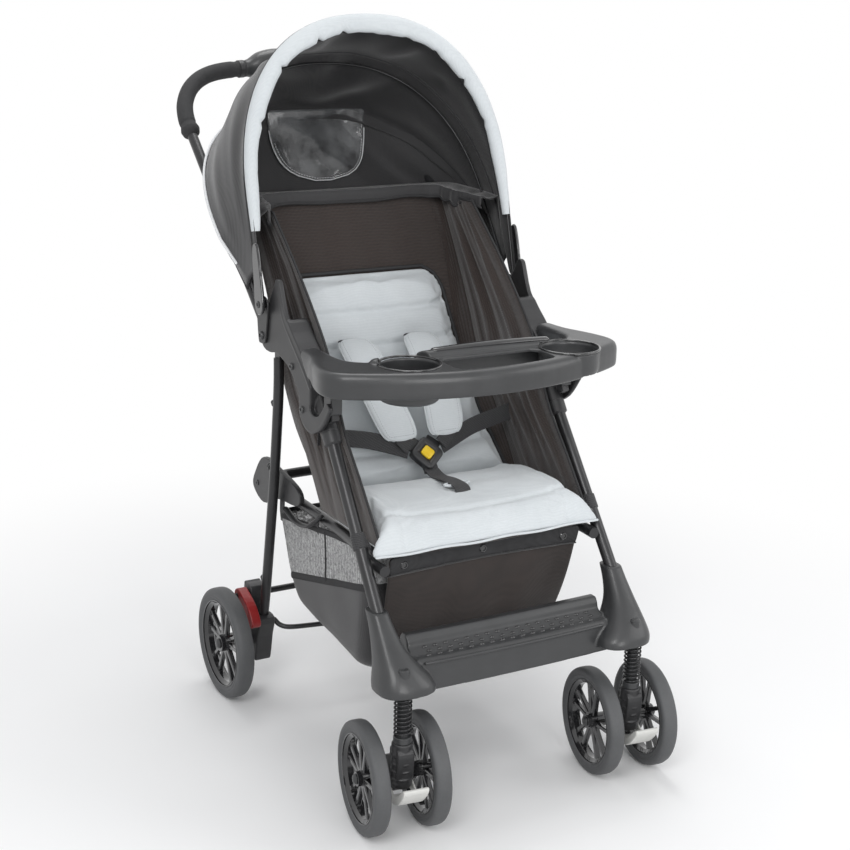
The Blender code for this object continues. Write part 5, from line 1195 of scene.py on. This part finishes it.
def make_sling():
    front, rear = spline(WING_FRONT, 9), spline(WING_REAR, 9)
    steps = len(front)
    grid = []
    for share in (i / 30 for i in range(31)):
        wing = []
        for k, (f, r) in enumerate(zip(front, rear)):
            rise = k / (steps - 1)
            belly = math.sin(math.pi * share) ** 0.7 * min(1.0, 0.05 + 4.0 * rise) * min(1.0, 0.4 + 3.0 * (1 - rise))
            fold = 0.5 + ripple(share * 7.5 - rise * 1.3, rise * 1.4, 2.2)
            fine = ripple(share * 13 - rise * 2.5, rise * 3.0, 9.4)
            tip = max(0.0, rise - 0.55) / 0.45
            pulled = sum(size * groove(share - start - lean * rise, width) for start, lean, width, size in WING_FOLDS)
            depth = 0.0075 * pulled + 0.006 * fold + 0.003 * fine + 0.006 * tip * fold
            wing.append((WING_X - max(0.0, depth) * belly - 0.004 * belly * tip, lerp(f[0], r[0], share),
                         lerp(f[1], r[1], share)))
        half = wing[::-1] + [(lerp(0.1672, 0.0, n / 10), wing[0][1], lerp(0.359, 0.3568, n / 10))
                             for n in range(1, 11)]
        grid.append([Vector(p) for p in mirrored(half)])
    cloth = dress(grid_sheet("seat_hammock", grid, 0.0012), "front_frame", "brown_mesh", "seat_sling")
    trims = [piping(name, line, size, sides, (1, 0, 0), 1.0, "front_frame") for name, line, size, sides in (
        ("wing_hem_right", grid[0][:steps], 0.0018, 12), ("wing_hem_left", grid[0][-steps:], 0.0018, 12),
        ("wing_top_right", [row[0] for row in grid], 0.0022, 10),
        ("wing_top_left", [row[-1] for row in grid], 0.0022, 10))]


# Rows of y, thickness and half width
SEAT_PAD_ROWS = [(-0.2965, 0.008, 0.184), (-0.288, 0.024, 0.182), (-0.26, 0.037, 0.166), (-0.225, 0.0425, 0.1625),
                 (-0.18, 0.042, 0.1625), (-0.135, 0.037, 0.162), (-0.106, 0.029, 0.16), (-0.096, 0.017, 0.1585)]


def make_seat_pad():
    table = spline(SEAT_PAD_ROWS, 5)
    columns = 45
    grid = [flat_row(half, y, 0.363, columns) for y, thick, half in table]

    def top(i, j):
        across = abs(2 * j / (columns - 1) - 1)
        roll = 1 + 0.14 * groove(across - 0.86, 0.12)
        edge = max(0.0, 1 - across ** 14) ** 0.5
        return table[i][1] * (0.25 + 0.75 * edge) * roll

    def sewn(co, normal):
        if normal.z < -0.2:
            return 0.0
        depth = 0.0026 * groove(abs(abs(co.x) - 0.133), 0.0032) * (co.y < -0.115)
        depth += 0.0028 * groove(co.y + 0.266 - 0.01 * (co.x / 0.16) ** 2, 0.0034)
        depth += 0.005 * groove(math.hypot(co.x, (co.y + 0.209) * 0.8), 0.03)
        fold = ripple(co.x * 16, co.y * 30, 1.0) * 0.0026 + ripple(co.x * 45, co.y * 22, 4.0) * 0.0007
        near = ripple(co.x * 60, 3.0, 2.0) * 0.0014 * groove(co.y + 0.28, 0.018)
        return fold + near - depth

    pad = puffed(pad_mesh("seat_cushion", grid, top, lambda i, j: 0.0), 0.0045, 0.0065, (0, -0.25, 1.0))
    for vertex in pad.data.vertices:
        co = vertex.co
        limit = lerp(0.186, 0.1655, clip((co.y + 0.2865) / 0.01))
        co.x, co.z = min(limit, max(-limit, co.x)), max(co.z, 0.36)
    pressed(pad, sewn)
    dress(subdivided(pad), "front_frame", "pale_fabric", "seat_pad")
    front = [at(x, -0.2975 + 0.003 * (x / 0.18) ** 2, 0.364 + 0.001 * math.sin(60 * x))
             for x in np.linspace(-0.18, 0.18, 45)]
    piping("seat_front_binding", front, 0.0018, 10, UP, 1.0, "front_frame", "pale_fabric")


BACK_PAD_SEAMS = (0.43, 0.531, 0.566, 0.615)


def make_back_pad():
    fine = [at(y, z) for y, z in spline(BACK_KNOTS, 9)]
    line = []
    for i, spot in enumerate(fine):
        along = heading(fine, i)
        line.append(spot + at(-along.y, along.x) * 0.004)
    line = line[2:-9]
    rows, columns = len(line), 41
    grid = []
    for i, spot in enumerate(line):
        share = i / (rows - 1)
        corner = max(0.0, (share - 0.9) / 0.1)
        half = 0.156 - 0.024 * max(0.0, (share - 0.45) / 0.55) ** 1.5 - 0.026 * (
            1 - math.sqrt(max(0.0, 1 - corner ** 2)))
        grid.append(flat_row(half, *spot, columns))

    def front(i, j):
        share = i / (rows - 1)
        across = abs(2 * j / (columns - 1) - 1)
        return 0.004 + 0.0125 * max(0.0, 1 - across ** 8) ** 0.5 * max(0.0, 1 - abs(2 * share - 1) ** 10) ** 0.5

    def sewn(co, normal):
        if normal.y > 0.1:
            return 0.0
        depth = sum(0.0052 * groove(co.z - z - 0.004 * (co.x / 0.14) ** 2, 0.0048) for z in BACK_PAD_SEAMS)
        ruck = sum(0.0016 * ripple(co.x * 55, k * 3.0, 1.0) * groove(co.z - z, 0.016)
                   for k, z in enumerate(BACK_PAD_SEAMS))
        tall = 0.0026 * ripple(co.x * 26, co.z * 9, 6.0) * clip((co.z - 0.6) / 0.04)
        return ruck + tall + 0.0014 * ripple(co.x * 14, co.z * 18, 2.0) - depth

    pad = puffed(pad_mesh("back_cushion", grid, front, lambda i, j: 0.0), 0.0045, 0.006, (0, -0.83, 0.55))
    pressed(pad, sewn)
    dress(subdivided(pad), "backrest", "pale_fabric", "back_pad")
    lifted = [[p + n * 0.0032 for p, n in zip(*pair)] for pair in zip(grid, normals_of(grid))]
    edge = [row[0] for row in lifted] + lifted[-1][1:] + [row[-1] for row in lifted[-2::-1]]
    piping("back_pad_piping", edge, 0.0026, 12, (0, 1, 0), 1.0, "backrest")


PANEL_HALF, BAND_ROW = 0.1545, 4
SNAP = [(0.006, -0.001), (0.0062, 0.0008), (0.005, 0.002), (0.0034, 0.0022), (0.0028, 0.001), (0.0004, 0.0008)]


def make_front_panel():
    rows, columns = 26, 41
    grid = []
    for down in (i / (rows - 1) for i in range(rows)):
        row = []
        for across in (2 * j / (columns - 1) - 1 for j in range(columns)):
            top_y, low_y = -0.27 - 0.014 * across ** 2, -0.26 + 0.033 * across ** 2
            fold = 0.003 * math.sin(3.2 * math.pi * across) * down * (1 - 0.5 * down)
            wrinkle = 0.003 * ripple(across * 3.2 + down, down * 1.8, 5.0) * min(1.0, 3 * down)
            bulge = -0.007 * math.sin(math.pi * down)
            row.append(at(across * (PANEL_HALF - 0.009 * down), lerp(top_y, low_y, down) + fold + wrinkle + bulge,
                          0.3556 - (0.164 + 0.007 * across ** 2) * down))
        grid.append(row)
    cloth = dress(grid_sheet("front_cloth", grid, 0.0012), "front_frame", "panel_cloth", "front_panel")
    band_grid = [[p - at(0, 0.0018 + 0.0012 * math.sin(math.pi * i / BAND_ROW)
                         + 0.0012 * ripple(j * 0.5, i * 0.4, 3.3), 0) for j, p in enumerate(grid[i])]
                 for i in range(BAND_ROW + 1)]
    band = dress(grid_sheet("front_band", band_grid, 0.0012), "front_frame", "dark_trim")
    hem = piping("front_hem", [p - at(0, 0.0008, 0) for p in grid[-1]], 0.0024, 10, (0, 1, 0), 1.0, "front_frame")
    fold = piping("front_band_edge", [p - at(0, 0.0026, 0) for p in grid[BAND_ROW]], 0.0013, 10, (0, 1, 0), 1.0,
                  "front_frame", "black_fabric")
    thread = stitches("front_band_stitches", [p + at(0, -0.0036, 0.003) for p in grid[BAND_ROW]],
                      [(0, -1, 0)] * columns, "front_frame", "dark_trim", 0.0045, 0.003, 0.0004)
    snaps = [turned_rings(SNAP, grid[2][round((x / PANEL_HALF + 1) / 2 * (columns - 1))] - at(0, 0.0032, 0),
                          (0, -1, 0.05), 20) for x in (-0.128, 0.0, 0.128)]
    pops = dress(several("front_snaps", snaps), "front_frame", "gloss")


# Basket

# Rows of front y, rear y, front z, rear z and half width
BASKET_RINGS = [
    (-0.166, -0.02, 0.15, 0.1795, 0.115), (-0.205, 0.009, 0.157, 0.1875, 0.15), (-0.217, 0.034, 0.195, 0.205, 0.156),
    (-0.227, 0.064, 0.258, 0.25, 0.156), (-0.233, 0.088, 0.35, 0.305, 0.156),
]
BASKET_CORNER, BASKET_MIDDLE = 0.03, at(0, -0.093, 0.1645)
BASKET_SEAMS = ((21, -0.0008), (30, -0.0008), (8, 0.0), (59, 0.0))  # column of the grid, shift to its outside


def basket_row(values):
    front, rear, front_z, rear_z, half = values
    corner = BASKET_CORNER
    outline = []
    for cx, cy, start, following in ((half - corner, rear - corner, 0, (corner - half, rear)),
                                     (corner - half, rear - corner, 90, (-half, front + corner)),
                                     (corner - half, front + corner, 180, (half - corner, front)),
                                     (half - corner, front + corner, 270, (half, rear - corner))):
        for k in range(9):
            angle = math.radians(start + 90 * k / 8)
            outline.append((cx + corner * math.cos(angle), cy + corner * math.sin(angle)))
        last = outline[-1]
        outline += [(lerp(last[0], following[0], k / 9), lerp(last[1], following[1], k / 9)) for k in range(1, 9)]
    row = []
    for x, y in outline:
        z = lerp(front_z, rear_z, (y - front) / (rear - front))
        out = at(x, y - (front + rear) / 2, 0).normalized()
        row.append(at(x, y, z) - out * max(0.0, ripple(x * 12, y * 14, z * 16) * 0.0032 + 0.0006))
    return row + [row[0].copy()]


def flat_hem(name, line, wide):
    """A flat band standing on edge along a closed line, whose last point is its first."""
    rings = []
    for i, point in enumerate(line[:-1]):
        along = (line[(i + 1) % (len(line) - 1)] - line[i - 1 if i else len(line) - 2]).normalized()
        out = along.cross(UP).normalized()
        rings.append([point + UP * (wide * math.cos(a)) + out * (0.0016 * math.sin(a)) for a in around(12)])
    return dress(from_rings(name, rings, True), "front_frame", "dark_trim")


def make_basket():
    rows = [basket_row(values) for values in spline(BASKET_RINGS, 6)]
    upper, lower = [[] for k in range(11)], [[] for k in range(15)]
    for column in zip(*rows):
        for k, pair in enumerate(zip(column, column[1:])):
            # The mesh starts at a height that rises towards the front.
            low, high = (p.z - lerp(0.212, 0.292, clip((0.07 - p.y) / 0.3)) for p in pair)
            if low <= 0.0 < high:
                share = k + low / (low - high)
                break
        for part, start, end in ((lower, 0.0, share), (upper, share, len(column) - 1.0)):
            for k, row in enumerate(part):
                spot = lerp(start, end, k / (len(part) - 1))
                i = min(int(spot), len(column) - 2)
                row.append(column[i].lerp(column[i + 1], spot - i))
    mesh = dress(grid_sheet("basket_mesh", upper, 0.0012), "front_frame", "grey_mesh", "basket")
    floor = [[BASKET_MIDDLE.lerp(p, k / 6) for p in lower[0]] for k in range(1, 6)]
    base = dress(grid_sheet("basket_base", floor + lower, 0.0012), "front_frame", "black_fabric")
    cap = floor[0][:-1]
    count = len(cap)
    faces = [tuple(range(count)), tuple(range(2 * count - 1, count - 1, -1))]
    faces += [(k, (k + 1) % count, count + (k + 1) % count, count + k) for k in range(count)]
    bottom = make("basket_floor", [p + UP * lift for lift in (0.0006, -0.0006) for p in cap], faces)
    dress(bottom, "front_frame", "black_fabric")
    top_hem = flat_hem("basket_hem_top", upper[-1], 0.0048)
    middle_hem = flat_hem("basket_hem_middle", upper[0], 0.006)
    seams = [tube_rings([row[column] + at(shift, 0, 0) for row in upper], 0.0017, 8, (0, 1, 0), 1.0, True)
             for column, shift in BASKET_SEAMS]
    trims = dress(several("basket_seams", seams), "front_frame", "dark_trim")
    # Straps hang the basket on the seat tube.
    hangers = [band_rings([(sign * 0.1545, y, z - 0.004), (sign * 0.156, y, z + 0.012), (sign * 0.1555, y, 0.338),
                           (sign * 0.153, y, 0.3545)], 0.016, 0.0014, (0, 1, 0))
               for side, sign in SIDES for y, z in ((0.06, 0.303), (-0.06, 0.316), (-0.2, 0.329))]
    dress(several("basket_hangers", hangers), "front_frame", "webbing")


# Harness

BUCKLE_CENTRE, BUCKLE_TILT, BUCKLE_TURN = at(0, -0.1075, 0.434), math.radians(40), math.radians(38)
WEB_WIDE, WEB_THICK = 0.025, 0.0018
CROTCH_SLIT_Y = -0.1965
# The paths of one side, each with x towards its own side
LAP_BELT = [(0.164, -0.08, 0.474), (0.13, -0.085, 0.469), (0.09, -0.09, 0.462), (0.055, -0.0985, 0.452),
            (0.027, -0.104, 0.442)]
SHOULDER_PAD = [(0.056, 0.03, 0.583), (0.0545, -0.006, 0.565), (0.05, -0.05, 0.522), (0.0425, -0.084, 0.483),
                (0.036, -0.102, 0.456)]
SHOULDER_STRAP = [(0.0565, 0.048, 0.576), (0.0562, 0.04, 0.58), (0.056, 0.03, 0.581), (0.0555, 0.018, 0.576)]
SHOULDER_TAIL = [(0.043, -0.096, 0.468), (0.036, -0.103, 0.456), (0.026, -0.106, 0.447)]
CROTCH_STRAP = [(0, -0.124, 0.415), (0, -0.145, 0.4105), (0, -0.175, 0.4145), (0, -0.2, 0.4155), (0, -0.213, 0.413),
                (0, -0.217, 0.406)]


def band_rings(path, width, thickness, across):
    """Flat webbing along a path, with rounded edges."""
    path = [Vector(p) for p in path]
    rings = []
    for i, point in enumerate(path):
        along = heading(path, i)
        side = (Vector(across) - along * along.dot(Vector(across))).normalized()
        lift = along.cross(side).normalized()
        rings.append([point + side * (width / 2 * a) + lift * (thickness / 2 * b)
                      for a, b in ((-1, 0), (-0.93, -1), (0, -1), (0.93, -1), (1, 0), (0.93, 1), (0, 1), (-0.93, 1))])
    return rings


def on_side(knots, sign, steps):
    return spline([(sign * x, y, z) for x, y, z in knots], steps)


def plate_rings(half, low, high, count, round_by):
    """A rounded square plate with its edges broken."""
    small = round_by * 0.4
    return [oval((0, 0, h), half - k, half - k, 5.0, count)
            for h, k in ((low, round_by), (low + small, small), (low + round_by, 0.0), (high - round_by, 0.0),
                         (high - small, small), (high, round_by))]


def make_buckle():
    up = at(0, math.sin(BUCKLE_TILT), math.cos(BUCKLE_TILT))
    out = at(0, -math.cos(BUCKLE_TILT), math.sin(BUCKLE_TILT))
    place = Matrix.Translation(BUCKLE_CENTRE) @ Matrix((at(1, 0, 0), up, out)).transposed().to_4x4()
    turned_place = place @ Matrix.Rotation(BUCKLE_TURN, 4, "Z")
    shell = from_rings("buckle_shell", plate_rings(0.0205, -0.0065, 0.0065, 48, 0.0018))
    cut(shell, [from_rings("pocket", plate_rings(0.0096, -0.0018, 0.012, 40, 0.0004))])
    dress(moved(shell, turned_place), "front_frame", "black_plastic", "buckle")
    key = from_rings("buckle_key", plate_rings(0.0088, 0.0018, 0.0082, 40, 0.0012))
    dress(moved(key, turned_place), "buckle_release", "yellow_plastic", "buckle_button")
    tongues = []
    for turn in (0.8, 2.34, -1.57):
        c, s = math.cos(turn), math.sin(turn)
        tongues.append(band_rings([(r * c, r * s, -0.001) for r in (0.012, 0.022, 0.03)], 0.024, 0.005, (-s, c, 0)))
    dress(moved(several("buckle_tongues", tongues), place), "front_frame", "black_plastic")


def make_shoulder(side, sign):
    line = spline(SHOULDER_PAD, 9)
    rows, columns = len(line), 19
    grid = []
    for i, (x, y, z) in enumerate(line):
        half = 0.0305 * max(0.02, 1 - abs(2 * i / (rows - 1) - 1) ** 6) ** 0.5
        grid.append([at(sign * x + half * (2 * j / (columns - 1) - 1), y, z) for j in range(columns)])

    def swell(i, j):
        across, along = abs(2 * j / (columns - 1) - 1), abs(2 * i / (rows - 1) - 1)
        edge = (1 - across ** 5) * (1 - along ** 10)
        sewn = groove(across - 0.72, 0.1) * 0.0009 * min(1.0, edge * 2)
        return 0.0012 + 0.0044 * max(0.0, edge) ** 0.6 - sewn + 0.0005 * ripple(j * 0.4, i * 0.35, 3.0 * sign)

    pad = subdivided(pad_mesh(f"shoulder_cushion_{side}", grid, swell, swell))
    dress(pad, "backrest", "pale_fabric", f"shoulder_pad_{side}")
    normals = normals_of(grid)
    toward = 1.0 if normals[rows // 2][columns // 2].y < 0 else -1.0
    ring = [(i, 0) for i in range(2, rows - 2)] + [(rows - 3, j) for j in range(1, columns - 1)]
    ring += [(i, columns - 1) for i in range(rows - 3, 1, -1)] + [(2, j) for j in range(columns - 2, 0, -1)]
    dress(tube(f"shoulder_piping_{side}", [grid[i][j] for i, j in ring], 0.0013, 8, (0, 1, 0)), "backrest",
          "pale_fabric")
    ring = [(i, 2) for i in range(3, rows - 3)] + [(rows - 4, j) for j in range(3, columns - 3)]
    ring += [(i, columns - 3) for i in range(rows - 4, 2, -1)]
    stitches(f"shoulder_stitches_{side}", [grid[i][j] + normals[i][j] * (toward * (swell(i, j) + 0.0002))
                                           for i, j in ring], [normals[i][j] for i, j in ring], "backrest",
             "grey_trim", 0.0038, 0.0026, 0.0004)
    strap = band_rings(on_side(SHOULDER_STRAP, sign, 5), WEB_WIDE, WEB_THICK, (1, 0, 0))
    dress(from_rings(f"shoulder_webbing_{side}", strap), "backrest", "webbing")
    tail = band_rings(on_side(SHOULDER_TAIL, sign, 4), 0.022, WEB_THICK, (1, 0, 0))
    dress(from_rings(f"shoulder_tail_{side}", tail), "backrest", "webbing")


def make_harness():
    make_buckle()
    strap = band_rings(spline(CROTCH_STRAP, 6), WEB_WIDE, WEB_THICK, (1, 0, 0))
    dress(from_rings("crotch_webbing", strap), "front_frame", "webbing", "crotch_strap")
    slit = [at(0.02 * math.cos(a), CROTCH_SLIT_Y + 0.006 * math.sin(a), 0.414 + 0.0012 * math.cos(a) ** 2)
            for a in around(40)]
    loop_piping("crotch_slit_edge", slit, (0, CROTCH_SLIT_Y), 0.002, "front_frame", "pale_fabric")
    belts = [band_rings(on_side(LAP_BELT, sign, 6), WEB_WIDE, WEB_THICK, (0, 0.25, 1)) for side, sign in SIDES]
    dress(several("lap_webbing", belts), "front_frame", "webbing", "lap_belt")
    for side, sign in SIDES:
        make_shoulder(side, sign)


STRUT_OUTLINE = [(0.143, 0.335), (0.134, 0.362), (0.104, 0.392), (0.05, 0.388), (-0.02, 0.374), (-0.02, 0.35),
                 (0.05, 0.34), (0.104, 0.318)]
SEAT_LINK = [(0.164, 0.03, 0.33), (0.165, -0.01, 0.322), (0.165, -0.048, 0.328), (0.165, -0.076, 0.345),
             (0.164, -0.09, 0.356)]


def make_small_parts():
    for side, sign in SIDES:
        strut = slab(spline(STRUT_OUTLINE, 5, True), sign, 0.16, 0.168, 0.0012)
        dress(several(f"recline_strut_{side}", [strut]), "front_frame", "black_plastic")
        bolts(f"strut_bolt_{side}", [(sign * 0.168, 0.126, 0.344)], sign, 0.0045, 0.0018, "front_frame")
        piping(f"seat_link_{side}", on_side(SEAT_LINK, sign, 5), 0.0052, 14, (1, 0, 0), 0.6, "front_frame",
               "black_plastic")
        centre = front_leg_point(0.378, sign)
        path = [centre + at(-sign * x, y, z) for x, y, z in ((0.006, -0.004, 0.002), (0.012, -0.008, -0.004),
                                                              (0.014, -0.008, -0.018))]
        shapes = [leg_band([(0.369, 0.0002), (0.37, 0.0016), (0.386, 0.0016), (0.387, 0.0002)], sign, 24),
                  band_rings(path, 0.013, 0.0022, (0, 1, 0.7))]
        dress(several(f"leg_snap_strap_{side}", shapes), "front_frame", "webbing")


for make_part in (make_hood, make_backrest, make_sling, make_seat_pad, make_back_pad, make_front_panel, make_basket,
                  make_harness, make_small_parts):
    make_part()


# Camera, lights and floor

CAMERA_PLACE, LENS = (-1.1340, -2.0779, 1.1431), 68.40
CAMERA_TURN, CAMERA_RISE, CAMERA_ROLL = math.radians(-29.8552), math.radians(16.2985), math.radians(1.313)
LAMPS = (("key", (-1.9, -2.3, 2.6), 1.6, 40.0), ("front", (-0.1, -3.3, 1.2), 1.5, 27.0),
         ("fill", (2.2, -1.8, 1.5), 1.8, 16.0), ("top", (0.3, 0.9, 3.0), 1.8, 30.0))


def make_camera():
    lens = bpy.data.cameras.new("camera")
    lens.lens, lens.sensor_width = LENS, 36.0
    camera = bpy.data.objects.new("camera", lens)
    bpy.context.collection.objects.link(camera)
    turn, rise, roll = CAMERA_TURN, CAMERA_RISE, CAMERA_ROLL
    back = at(math.sin(turn) * math.cos(rise), -math.cos(turn) * math.cos(rise), math.sin(rise))
    right = at(math.cos(turn), math.sin(turn), 0)
    up = back.cross(right)
    basis = Matrix((right * math.cos(roll) + up * math.sin(roll), up * math.cos(roll) - right * math.sin(roll), back))
    camera.matrix_world = Matrix.Translation(CAMERA_PLACE) @ basis.transposed().to_4x4()
    bpy.context.scene.camera = camera


def seen(tree):
    """1 for rays from the camera, from a mirror or through glass."""
    path = put(tree, "LightPath")
    out = path.outputs["Is Camera Ray"]
    for name in ("Is Glossy Ray", "Is Transmission Ray"):
        out = put(tree, "Math", {0: out, 1: path.outputs[name]}, operation="MAXIMUM").outputs[0]
    return out


def make_floor():
    """A pale floor that fades to the white background away from the stroller."""
    floor = make("floor", [(-6, -6, 0), (6, -6, 0), (6, 6, 0), (-6, 6, 0)], [(0, 1, 2, 3)])
    look = bpy.data.materials.new("floor")
    look.use_nodes = True
    tree = look.node_tree
    tree.nodes.remove(tree.nodes["Principled BSDF"])
    place = put(tree, "TexCoord").outputs["Object"]
    away = put(tree, "VectorMath", {0: place}, operation="LENGTH").outputs["Value"]
    grain = put(tree, "TexNoise", {"Scale": 3.0, "Vector": place}).outputs["Fac"]
    tint = put(tree, "Mix", {0: grain, 6: (0.92, 0.92, 0.92, 1.0), 7: (0.95, 0.95, 0.95, 1.0)}, data_type="RGBA")
    plain = put(tree, "BsdfDiffuse", {"Color": tint.outputs[2]})
    fade = put(tree, "MapRange", {"Value": away, "From Min": 0.55, "From Max": 1.3}, interpolation_type="SMOOTHSTEP")
    share = put(tree, "Math", {0: fade.outputs[0], 1: seen(tree)}, operation="MULTIPLY")
    mix = put(tree, "MixShader", {0: share.outputs[0], 1: plain.outputs[0], 2: put(tree, "Emission").outputs[0]})
    feed(tree, tree.nodes["Material Output"].inputs["Surface"], mix.outputs[0])
    floor.data.materials.append(look)


def make_light():
    world = bpy.data.worlds.new("studio")
    bpy.context.scene.world = world
    world.use_nodes = True
    tree = world.node_tree
    soft = tree.nodes["Background"]
    soft.inputs["Color"].default_value = (0.97, 0.98, 1.0, 1.0)
    soft.inputs["Strength"].default_value = 0.52
    white = put(tree, "Background", {"Color": (1.0, 1.0, 1.0, 1.0)})
    both = put(tree, "MixShader", {0: seen(tree), 1: soft.outputs[0], 2: white.outputs[0]})
    feed(tree, tree.nodes["World Output"].inputs["Surface"], both.outputs[0])
    for name, spot, size, power in LAMPS:
        light = bpy.data.lights.new(name, "AREA")
        light.shape, light.size, light.energy = "DISK", size, power
        lamp = bpy.data.objects.new(name, light)
        lamp.location = spot
        lamp.rotation_euler = (at(0, 0, 0.5) - Vector(spot)).to_track_quat("-Z", "Y").to_euler()
        bpy.context.collection.objects.link(lamp)
    bpy.context.scene.view_settings.view_transform = "Standard"


make_camera()
make_floor()
make_light()
